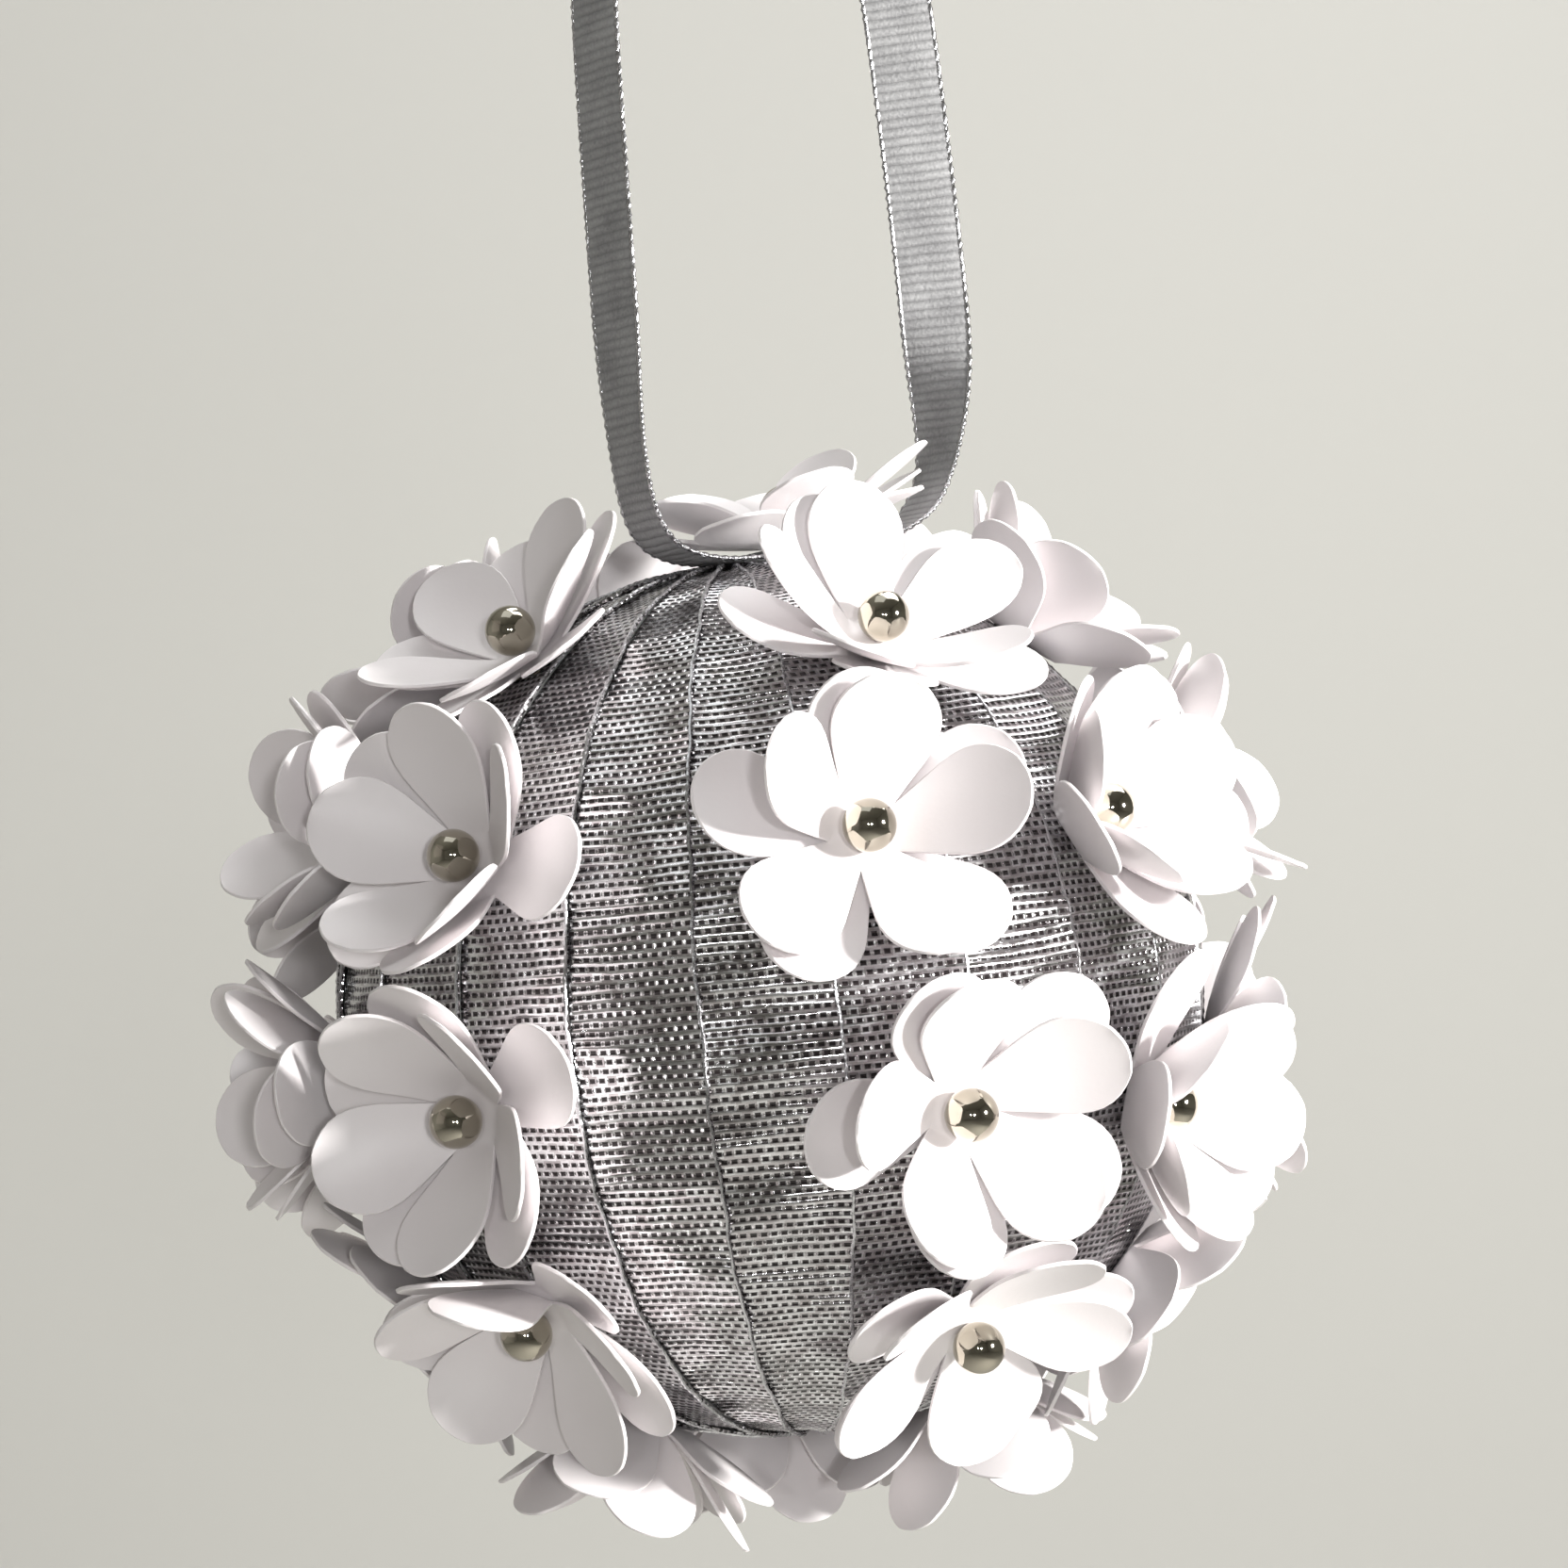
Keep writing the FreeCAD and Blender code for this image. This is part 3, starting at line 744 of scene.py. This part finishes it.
@dataclass
class Petal:
    """A teardrop petal, with its hinge across the Y axis and its round tip along X."""

    apothem: float
    flower_radius: float = 13.6 * MM
    tip_radius: float = 4.2 * MM
    curl_radius: float = 42.0 * MM
    cup: float = 0.5 * MM
    rows: int = 4
    stations: tuple[float, ...] = (0.0, 0.06, 0.17, 0.34, 0.53, 0.7, 0.84, 0.945, 1.0)
    blunt: float = 0.42

    @property
    def length(self) -> float:
        """From the hinge to the tip."""
        return self.flower_radius - self.apothem

    @property
    def hinge(self) -> float:
        """Half the hinge's width."""
        return self.apothem * math.tan(math.pi / PETALS)

    def half_width(self, out: float) -> float:
        """Half the petal's width at a distance from its hinge."""
        middle = self.length - self.tip_radius
        away = math.hypot(middle, self.hinge)
        angle = math.atan2(self.hinge, -middle) - math.acos(self.tip_radius / away)
        meets = middle + self.tip_radius * math.cos(angle)
        if out < meets:
            return self.hinge + (self.tip_radius * math.sin(angle) - self.hinge) * out / meets
        least = (self.tip_radius * self.blunt) ** 2
        return math.sqrt(max(self.tip_radius ** 2 - (out - middle) ** 2, least))

    def model(self) -> bpy.types.Object:
        """Model the petal as one sheet, curled along its length and cupped across it."""
        Bench.clear()
        columns = len(self.stations) - 1
        clear = 5.0
        bpy.ops.mesh.primitive_grid_add(
            x_subdivisions=columns, y_subdivisions=self.rows, size=1.0, location=(clear, 0.0, 0.0))
        petal = bpy.context.active_object
        Bench.settle(petal)
        Bench.edit(petal)
        for column, share in enumerate(self.stations):
            start = clear - 0.5 + column / columns
            out = share * self.length
            half = self.half_width(out)
            rise = self.curl_radius - math.sqrt(self.curl_radius ** 2 - out ** 2)
            Bench.pick(petal, lambda co, start=start: abs(co.x - start) < 0.01)
            bpy.ops.transform.resize(value=(1.0, 2 * half, 1.0), center_override=(start, 0.0, 0.0))
            bpy.ops.transform.translate(value=(out - start, 0.0, rise))
            if column:
                self.cup_column(petal, out, half)
        self.round_tip(petal)
        Bench.clear()
        return petal

    def cup_column(self, petal: bpy.types.Object, out: float, half: float) -> None:
        """Raise the sides of one column of points, the more the wider it is.

        Args:
            petal: The petal in edit mode.
            out: The column's distance from the hinge.
            half: Half the column's width.
        """
        depth = self.cup * (half / self.tip_radius) ** 2
        for step in range(1, self.rows // 2 + 1):
            side = step / (self.rows // 2)
            Bench.pick(petal, lambda co, side=side: (
                abs(co.x - out) < NEAR and abs(abs(co.y) - side * half) < NEAR))
            bpy.ops.transform.translate(value=(0.0, 0.0, depth * side ** 2))

    def round_tip(self, petal: bpy.types.Object) -> None:
        """Pull the outer points of the last column back on to the round tip."""
        half = self.half_width(self.length)
        for step in range(1, self.rows // 2 + 1):
            side = half * step / (self.rows // 2)
            back = self.tip_radius - math.sqrt(self.tip_radius ** 2 - side ** 2)
            Bench.pick(petal, lambda co, side=side: (
                abs(co.x - self.length) < NEAR and abs(abs(co.y) - side) < NEAR))
            bpy.ops.transform.translate(value=(-back, 0.0, 0.0))


@dataclass
class Blossom:
    """One layer of a flower, cut from card."""

    apothem: float
    height: float
    card: float = 0.3 * MM
    edge: float = 0.05 * MM
    petal: bpy.types.Object | None = None
    middle: bpy.types.Object | None = None

    def patterns(self) -> None:
        """Model the petal and the five-sided middle that every copy starts from."""
        shape = Petal(self.apothem)
        self.petal = shape.model()
        Bench.clear()
        bpy.ops.mesh.primitive_circle_add(
            vertices=PETALS, radius=self.apothem / math.cos(math.pi / PETALS), fill_type="NGON")
        self.middle = bpy.context.active_object
        self.middle.rotation_euler = (0.0, 0.0, math.radians(18.0))
        Bench.settle(self.middle)
        Bench.edit(self.middle)
        bpy.ops.mesh.select_all(action="SELECT")
        bpy.ops.mesh.subdivide(number_cuts=shape.rows - 1)
        bpy.ops.mesh.select_all(action="SELECT")
        bpy.ops.mesh.dissolve_faces()
        bpy.ops.mesh.inset(thickness=self.apothem * 0.4)
        bpy.ops.mesh.poke()
        Bench.clear()

    def build(self, name: str, spin: float, lifts: tuple[int, ...]) -> bpy.types.Object:
        """Put a blossom together from the patterns.

        Args:
            name: The blossom's name.
            spin: The turn of its first petal, in degrees.
            lifts: How far each petal is lifted, in degrees.

        Returns:
            The blossom, lying on its own frame.
        """
        parts = [Bench.copy(self.middle, Matrix.Rotation(math.radians(spin), 4, "Z"))]
        for number, lift in enumerate(lifts):
            turn = Matrix.Rotation(math.radians(spin + 360.0 / PETALS * number), 4, "Z")
            raised = Matrix.Rotation(math.radians(-lift), 4, "Y")
            place = turn @ Matrix.Translation((self.apothem, 0.0, 0.0)) @ raised
            parts.append(Bench.copy(self.petal, place))
        whole = Bench.join(parts, name)
        Bench.settle(whole)
        Bench.merge(whole, 0.02 * MM)
        Bench.finish(whole, "SUBSURF", levels=1, render_levels=1)
        Bench.finish(whole, "SOLIDIFY", thickness=self.card, offset=1.0)
        Bench.finish(whole, "BEVEL", width=self.edge, segments=1, limit_method="ANGLE",
                     angle_limit=math.radians(50.0))
        whole.data.transform(Matrix.Translation((0.0, 0.0, self.height)))
        return whole


@dataclass
class Flowers:
    """Every flower: two blossoms of pearly card, the upper one smaller in its middle."""

    seats: Seats
    under: Blossom = field(default_factory=lambda: Blossom(apothem=3.0 * MM, height=0.0))
    upper: Blossom = field(default_factory=lambda: Blossom(apothem=2.2 * MM, height=0.3 * MM))

    def build(self, material: bpy.types.Material) -> None:
        """Build all the flowers in the card's material."""
        for layer in (self.under, self.upper):
            layer.patterns()
        for flower in FLOWERS:
            low = self.under.build("low", flower.spin + flower.twist, flower.under)
            high = self.upper.build("high", flower.spin, flower.upper)
            whole = Bench.join([low, high], f"card_{flower.node}")
            whole.matrix_world = self.seats.place(flower)
            Bench.settle(whole)
            Bench.smooth(whole, 40.0)
            dress(whole, material, Slot.CARD, flower.node)
        for layer in (self.under, self.upper):
            Bench.drop((layer.petal, layer.middle))


@dataclass
class Pins:
    """The ball-headed pins, one through the middle of each flower."""

    seats: Seats
    head: float = 2.0 * MM
    shaft: float = 0.3 * MM
    length: float = 20.0 * MM
    point: float = 1.2 * MM
    lift: float = 0.6 * MM

    def model(self) -> bpy.types.Object:
        """Model one pin, with the underside of its head at the origin."""
        Bench.clear()
        bpy.ops.mesh.primitive_uv_sphere_add(
            segments=40, ring_count=22, radius=self.head, location=(0.0, 0.0, self.head))
        ball = bpy.context.active_object
        Bench.clear()
        straight = self.length - self.point
        bpy.ops.mesh.primitive_cylinder_add(
            vertices=12, radius=self.shaft, depth=straight + self.head,
            location=(0.0, 0.0, (self.head - straight) / 2))
        rod = bpy.context.active_object
        Bench.settle(rod)
        Bench.edit(rod)
        Bench.pick(rod, lambda co: co.z < -straight + NEAR)
        bpy.ops.mesh.extrude_region_move(TRANSFORM_OT_translate={"value": (0.0, 0.0, -self.point)})
        bpy.ops.transform.resize(value=(0.08, 0.08, 1.0), center_override=(0.0, 0.0, -self.length))
        Bench.clear()
        Bench.settle(ball)
        return Bench.join([ball, rod], "pin")

    def build(self, material: bpy.types.Material) -> None:
        """Build all the pins in the plating's material."""
        pin = self.model()
        raised = Matrix.Translation((0.0, 0.0, self.lift))
        copies = [Bench.copy(pin, self.seats.place(flower) @ raised) for flower in FLOWERS]
        Bench.drop([pin])
        whole = Bench.join(copies, "ball_headed_pins")
        Bench.settle(whole)
        Bench.smooth(whole, 40.0)
        dress(whole, material, Slot.PINS, "flower_pins")


@dataclass
class Wrapping:
    """The ball's wrapping: strips of woven ribbon from pole to pole, each lapping over the next."""

    ball: Ball
    strips: int = 22
    seam: float = -8.0
    thin: float = 0.2 * MM
    thick: float = 0.6 * MM
    columns: int = 8
    rings: int = 120
    flatness: float = 0.55
    ribbon: float = 0.28 * MM
    wrinkle: float = 0.3 * MM
    wrinkle_size: float = 5.0 * MM
    selvedge: float = 0.17 * MM
    bead: float = 0.82 * MM
    sways: tuple[tuple[float, float, float], ...] = (
        (0.10 * MM, 1.9 * MM, 2.3), (0.05 * MM, 0.53 * MM, 0.0))

    @property
    def width(self) -> float:
        """The angle that one strip covers, in degrees."""
        return 360.0 / self.strips

    def level(self, share: float) -> float:
        """How far from the ball's middle the strip lies, at a share of its width from its thin edge."""
        half = math.radians(self.width / 2)
        chord = math.cos(half) / math.cos(half * (2 * share - 1))
        straight = self.ball.radius + self.thin + (self.thick - self.thin) * share
        return straight * (1 - self.flatness * (1 - chord))

    def model(self) -> bpy.types.Object:
        """Model one strip as a slice of a sphere, pulled nearly flat across."""
        Bench.clear()
        bpy.ops.mesh.primitive_uv_sphere_add(
            segments=self.strips * self.columns, ring_count=self.rings, radius=1.0,
            location=(0.0, 0.0, 0.0))
        strip = bpy.context.active_object
        step = math.radians(self.width / self.columns)
        Bench.edit(strip)
        room = step / 4
        wide = step * self.columns
        Bench.pick(strip, lambda co: (
            math.hypot(co.x, co.y) < 1e-4 or not -room < math.atan2(co.y, co.x) < wide + room))
        bpy.ops.mesh.delete(type="VERT")
        for column in range(self.columns + 1):
            reach = self.level(column / self.columns)
            turn = column * step
            Bench.pick(strip, lambda co, turn=turn: (
                co.length > 0.5 and abs(math.atan2(co.y, co.x) - turn) < room))
            bpy.ops.transform.resize(value=(reach, reach, reach), center_override=(0.0, 0.0, 0.0))
        Bench.clear()
        self.map_flat(strip, wide)
        return strip

    def map_flat(self, strip: bpy.types.Object, wide: float) -> None:
        """Lay the strip's map out flat, in millimetres from its thick edge and from its middle."""
        size = self.ball.radius / MM
        layer = strip.data.uv_layers.active
        for loop in strip.data.loops:
            place = strip.data.vertices[loop.vertex_index].co
            level = math.hypot(place.x, place.y)
            rise = math.atan2(place.z, level)
            across = (wide - math.atan2(place.y, place.x)) * size * math.cos(rise)
            layer.data[loop.index].uv = (across, rise * size)

    def ripple(self, strip: bpy.types.Object, number: int) -> None:
        """Raise soft wrinkles across one strip, each strip's own.

        Args:
            strip: The strip, before it is turned into its place.
            number: The strip's number.
        """
        waves = bpy.data.textures.new("wrinkles", "CLOUDS")
        waves.noise_scale = self.wrinkle_size
        waves.noise_depth = 1
        guide = bpy.data.objects.new("wrinkle_guide", None)
        bpy.context.scene.collection.objects.link(guide)
        guide.location = (0.0, 0.0, 0.3 * number)
        guide.scale = (1.0, 5.0, 1.0)
        Bench.finish(strip, "DISPLACE", texture=waves, texture_coords="OBJECT",
                     texture_coords_object=guide, strength=self.wrinkle, mid_level=0.4)
        Bench.drop([guide])

    def edging(self, strip: bpy.types.Object, number: int) -> bpy.types.Object:
        """The beaded metallic thread along one strip's thick edge."""
        wide = math.radians(self.width)
        room = wide / (4 * self.columns)
        edge = sorted((vert.co.copy() for vert in strip.data.vertices
                       if abs(math.atan2(vert.co.y, vert.co.x) - wide) < room), key=lambda co: co.z)
        rings, maps = [], []
        turns = [step * math.pi / 3 for step in range(6)]
        fine = [a.lerp(b, part / 3) for a, b in zip(edge, edge[1:]) for part in range(3)]
        run = 0.0
        for place, after in zip(fine, fine[1:]):
            heading = (after - place).normalized()
            out = place.normalized()
            aside = heading.cross(out)
            beat = math.sin(math.pi * run / self.bead + number) ** 2
            sway = sum(size * math.sin(run / wave + turn * number) for size, wave, turn in self.sways)
            radius = self.selvedge * (0.6 + 0.5 * beat)
            centre = place + aside * sway - out * (0.35 * self.selvedge)
            rings.append([centre + aside * (radius * math.cos(turn)) + out * (radius * math.sin(turn))
                          for turn in turns])
            maps.append([(step, run / MM) for step in range(len(turns))])
            run += (after - place).length
        return skin("selvedge", rings, maps)

    def build(self, material: bpy.types.Material, tinsel: bpy.types.Material) -> None:
        """Build all the strips and the threads along their edges.

        Args:
            material: The woven ribbon's material.
            tinsel: The edge threads' material.
        """
        pattern = self.model()
        strips, threads = [], []
        for number in range(self.strips):
            strip = Bench.copy(pattern, Matrix())
            for loop in strip.data.uv_layers.active.data:
                loop.uv.x += 12.0 * number
            self.ripple(strip, number)
            thread = self.edging(strip, number)
            turn = math.radians(self.seam - 90.0 + self.width * number)
            for piece in (strip, thread):
                piece.matrix_world = Matrix.Rotation(turn, 4, "Z")
            strips.append(strip)
            threads.append(thread)
        Bench.drop([pattern])
        whole = Bench.join(strips, "woven_wrapping")
        Bench.settle(whole)
        Bench.finish(whole, "SOLIDIFY", thickness=self.ribbon, offset=-1.0)
        edges = Bench.join(threads, "wrapping_selvedges")
        Bench.settle(edges)
        for piece in (whole, edges):
            piece.data.transform(Matrix.Translation(self.ball.centre))
            Bench.smooth(piece, 40.0)
        dress(whole, material, Slot.WRAP, "ribbon_wrap")
        dress(edges, tinsel, Slot.WRAP)


@dataclass
class HangingLoop:
    """The flat ribbon loop, with its metallic edges, held under the top flower."""

    ball: Ball
    foot: tuple[float, float] = (5.5, 2.0)
    turn: float = 30.0
    width: float = 6.0 * MM
    thickness: float = 0.36 * MM
    length: float = 0.181
    steps: int = 10
    left_twist: float = 10.5
    right_twist: float = -58.0
    thread: float = 0.24 * MM
    scallop: float = 0.9 * MM
    route: tuple[tuple[float, float], ...] = (
        (3.0, 35.9), (-3.5, 35.9), (-9.5, 35.8), (-13.9, 38.0), (-14.9, 45.5), (-14.6, 60.0),
        (-13.8, 86.0), (-11.8, 98.0), (-4.4, 104.5), (5.6, 104.5), (13.0, 98.0), (15.1, 86.0),
        (16.0, 60.0), (15.8, 46.5), (13.6, 39.8), (9.0, 37.0), (3.5, 36.35), (-3.0, 36.35),
    )

    def point(self, along: float, height: float) -> Vector:
        """A point of the route in the frame, from its place in the loop's own plane, in millimetres."""
        turn = math.radians(self.turn)
        x, y = self.foot
        flat = Vector((x + along * math.cos(turn), y + along * math.sin(turn), height))
        return self.ball.centre + flat * MM

    def line(self) -> list[Vector]:
        """The ribbon's middle line, read from the smooth curve through the route."""
        data = bpy.data.curves.new("loop_route", "CURVE")
        data.dimensions = "3D"
        data.resolution_u = 48
        spline = data.splines.new("NURBS")
        spline.points.add(len(self.route) - 1)
        for point, (along, height) in zip(spline.points, self.route):
            point.co = (*self.point(along, height), 1.0)
        spline.order_u = 3
        spline.use_endpoint_u = True
        guide = bpy.data.objects.new("loop_route", data)
        bpy.context.scene.collection.objects.link(guide)
        bpy.context.view_layer.update()
        mesh = bpy.data.meshes.new_from_object(guide)
        points = [vert.co.copy() for vert in mesh.vertices]
        bpy.data.meshes.remove(mesh)
        bpy.data.objects.remove(guide, do_unlink=True)
        bpy.data.curves.remove(data)
        return points

    def twist(self, share: float) -> float:
        """How far the ribbon is turned about its own line, in degrees, at a share of its length."""
        turns = ((0.0, 0.0), (0.12, 0.0), (0.2, self.left_twist), (0.36, self.left_twist), (0.5, 0.0),
                 (0.6, self.right_twist), (0.8, self.right_twist), (0.9, 0.0), (1.0, 0.0))
        for (start, before), (end, after) in zip(turns, turns[1:]):
            if share <= end:
                part = (share - start) / (end - start)
                part = part * part * (3 - 2 * part)
                return before + (after - before) * part
        return 0.0

    def frames(self, points: list[Vector]) -> list[Station]:
        """The ribbon's place, way across, face and length so far, at each point of its line."""
        turn = math.radians(self.turn)
        across = Vector((math.sin(turn), -math.cos(turn), 0.0))
        total = sum((b - a).length for a, b in zip(points, points[1:]))
        result = []
        run = 0.0
        for number, point in enumerate(points):
            before = points[max(number - 1, 0)]
            after = points[min(number + 1, len(points) - 1)]
            heading = (after - before).normalized()
            run += (point - before).length if number else 0.0
            wide = Matrix.Rotation(math.radians(self.twist(run / total)), 3, heading) @ across
            result.append((point, wide, heading.cross(wide), run))
        return result

    def band(self, frames: list[Station]) -> bpy.types.Object:
        """The ribbon itself, a little thicker in its middle than at its edges."""
        rings, maps = [], []
        for point, wide, face, run in frames:
            ring, flat = [], []
            wave = 1.2 + 0.25 * math.sin(2 * math.pi * run / self.scallop)
            reach = self.width / 2 - self.thread * wave
            for side in (1, -1):
                for step in range(self.steps + 1):
                    share = side * (2 * step / self.steps - 1)
                    crown = 0.5 * self.thickness * (1 - 0.45 * share ** 4)
                    ring.append(point + wide * (share * reach) + face * (side * crown))
                    flat.append((30.0 + share * reach / MM, run / MM))
            rings.append(ring)
            maps.append(flat)
        return skin("loop_ribbon_band", rings, maps)

    def edging(self, frames: list[Station], side: int) -> bpy.types.Object:
        """The beaded metallic thread along one edge."""
        rings, maps = [], []
        sides = 8
        for point, wide, face, run in frames:
            beat = math.sin(math.pi * run / self.scallop) ** 2
            radius = self.thread * (0.72 + 0.4 * beat)
            centre = point + wide * (side * (self.width / 2 - self.thread * (1.05 - 0.3 * beat)))
            turn = 2.2 * run / self.scallop
            ring = []
            for step in range(sides):
                angle = turn + 2 * math.pi * step / sides
                aside, up = radius * math.cos(angle), 0.85 * radius * math.sin(angle)
                ring.append(centre + wide * aside + face * up)
            rings.append(ring)
            maps.append([(step, run / MM) for step in range(sides)])
        return skin(f"loop_edge_{'right' if side > 0 else 'left'}", rings, maps)

    def build(self, cloth: bpy.types.Material, tinsel: bpy.types.Material) -> None:
        """Args:
            cloth: The ribbon's material.
            tinsel: Its edges' material.
        """
        points = self.line()
        frames = self.frames(points)
        band = self.band(frames)
        edges = [self.edging(frames, side) for side in (1, -1)]
        Bench.smooth(band, 60.0)
        dress(band, cloth, Slot.LOOP, "hanging_loop")
        for edge in edges:
            Bench.smooth(edge, 60.0)
            dress(edge, tinsel, Slot.LOOP)


@dataclass
class Studio:
    """The floor and wall, the lights and the camera."""

    ball: Ball
    eye: tuple[float, float, float] = (2.7508, -292.0, 17.25)
    lens: float = 81.53
    sensor: float = 36.0
    roll: float = 5.5
    depth: float = 1.1
    drop: float = 0.75
    wall: float = 1.6
    half_width: float = 2.2

    def camera(self) -> None:
        """Stand the camera where the photograph was taken from."""
        data = bpy.data.cameras.new("photo_camera")
        data.sensor_width = self.sensor
        data.lens = self.lens
        data.clip_start, data.clip_end = 0.01, 20.0
        camera = bpy.data.objects.new("photo_camera", data)
        bpy.context.scene.collection.objects.link(camera)
        turn = math.radians(self.roll)
        right = Vector((math.cos(turn), 0.0, -math.sin(turn)))
        top = Vector((math.sin(turn), 0.0, math.cos(turn)))
        place = Matrix((right, top, right.cross(top))).transposed().to_4x4()
        camera.matrix_world = Matrix.Translation(self.ball.centre + Vector(self.eye) * MM) @ place
        bpy.context.scene.camera = camera

    def sweep(self, material: bpy.types.Material) -> None:
        """Build the pale floor that turns up into the wall behind."""
        Bench.clear()
        floor = self.ball.centre.z - self.drop
        bpy.ops.mesh.primitive_plane_add(
            size=2 * self.half_width, location=(0.0, self.depth - self.half_width, floor))
        sheet = bpy.context.active_object
        Bench.settle(sheet)
        Bench.edit(sheet)
        work = bmesh.from_edit_mesh(sheet.data)
        for edge in work.edges:
            edge.select_set(all(vert.co.y > self.depth - MM for vert in edge.verts))
        bmesh.update_edit_mesh(sheet.data)
        up = {"value": (0.0, 0.0, self.drop + self.wall)}
        bpy.ops.mesh.extrude_region_move(TRANSFORM_OT_translate=up)
        work = bmesh.from_edit_mesh(sheet.data)
        for edge in work.edges:
            edge.select_set(all(
                vert.co.y > self.depth - MM and vert.co.z < floor + MM for vert in edge.verts))
        bmesh.update_edit_mesh(sheet.data)
        bpy.ops.mesh.bevel(offset=0.5, segments=16)
        Bench.clear()
        sheet.name = "studio_sweep"
        sheet.data.name = "studio_sweep"
        sheet.data.materials.append(material)
        Bench.smooth(sheet, 40.0)

    def lamp(self, name: str, azimuth: float, elevation: float, distance: float, size: float,
             power: float, colour: tuple[float, float, float] = (1.0, 1.0, 1.0)) -> None:
        """Stand one square lamp round the ball, facing it.

        Args:
            name: The lamp's name.
            azimuth: Its direction, in degrees from the viewer towards the right.
            elevation: Its height, in degrees.
            distance: How far it stands from the ball's middle.
            size: The length of its sides.
            power: Its power in watts.
            colour: Its colour.
        """
        data = bpy.data.lights.new(name, "AREA")
        data.size = size
        data.energy = power
        data.color = colour
        lamp = bpy.data.objects.new(name, data)
        bpy.context.scene.collection.objects.link(lamp)
        out = self.ball.outward(azimuth, elevation)
        lamp.location = self.ball.centre + out * distance
        lamp.rotation_mode = "QUATERNION"
        lamp.rotation_quaternion = out.to_track_quat("Z", "Y")
        lamp.visible_camera = False

    def lights(self) -> None:
        """Light the ornament from the right, near the camera and softly from all round."""
        self.lamp("key", 60.0, 7.0, 0.9, 0.11, 21.0, (1.0, 0.985, 0.96))
        self.lamp("near_right", 9.0, 4.0, 0.7, 0.05, 1.1)
        self.lamp("near_left", -5.0, 6.0, 0.7, 0.035, 0.4)
        self.lamp("soft_left", -66.0, 22.0, 1.2, 0.9, 0.4, (1.0, 0.88, 0.89))
        self.lamp("soft_top", -25.0, 80.0, 1.1, 0.7, 1.3, (0.93, 0.97, 1.0))
        self.lamp("wall_wash", 130.0, 62.0, 1.2, 0.9, 12.0)
        world = bpy.data.worlds.new("studio_air")
        bpy.context.scene.world = world
        world.use_nodes = True
        wire = Wiring(world.node_tree)
        end = world.node_tree.nodes["World Output"]
        room = world.node_tree.nodes["Background"]
        room.inputs["Color"].default_value = (0.055, 0.04, 0.039, 1.0)
        room.inputs["Strength"].default_value = 1.0
        seen = wire.add("Background", Color=(0.60, 0.595, 0.57, 1.0), Strength=1.0)
        mix = wire.tree.nodes.new("ShaderNodeMixShader")
        wire.feed(mix.inputs[0], wire.add("LightPath").outputs["Is Camera Ray"])
        wire.feed(mix.inputs[1], room.outputs[0])
        wire.feed(mix.inputs[2], seen.outputs[0])
        wire.feed(end.inputs["Surface"], mix.outputs[0])

    def build(self, material: bpy.types.Material) -> None:
        """Set up the floor, the lights and how the picture shows their brightness."""
        self.sweep(material)
        self.lights()
        bpy.context.scene.view_settings.view_transform = "Standard"


def main() -> None:
    """Build the ornament's pieces in order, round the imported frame."""
    logging.basicConfig(level=logging.INFO, format="%(name)s: %(message)s")
    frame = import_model()
    ball = Ball.found()
    seats = Seats(ball)
    studio = Studio(ball)
    studio.camera()
    tinsel = Tinsel().build()
    HangingLoop(ball).build(RibbedCloth().build(), tinsel)
    Wrapping(ball).build(WovenMetal().build(), tinsel)
    Flowers(seats).build(PearlCard().build())
    Pins(seats).build(PolishedMetal().build())
    core = frame["nodes"]["foam_ball"]
    core.data.materials.clear()
    core.data.materials.append(Foam().build())
    studio.build(Paint().build())


if __name__ == "__main__":
    main()
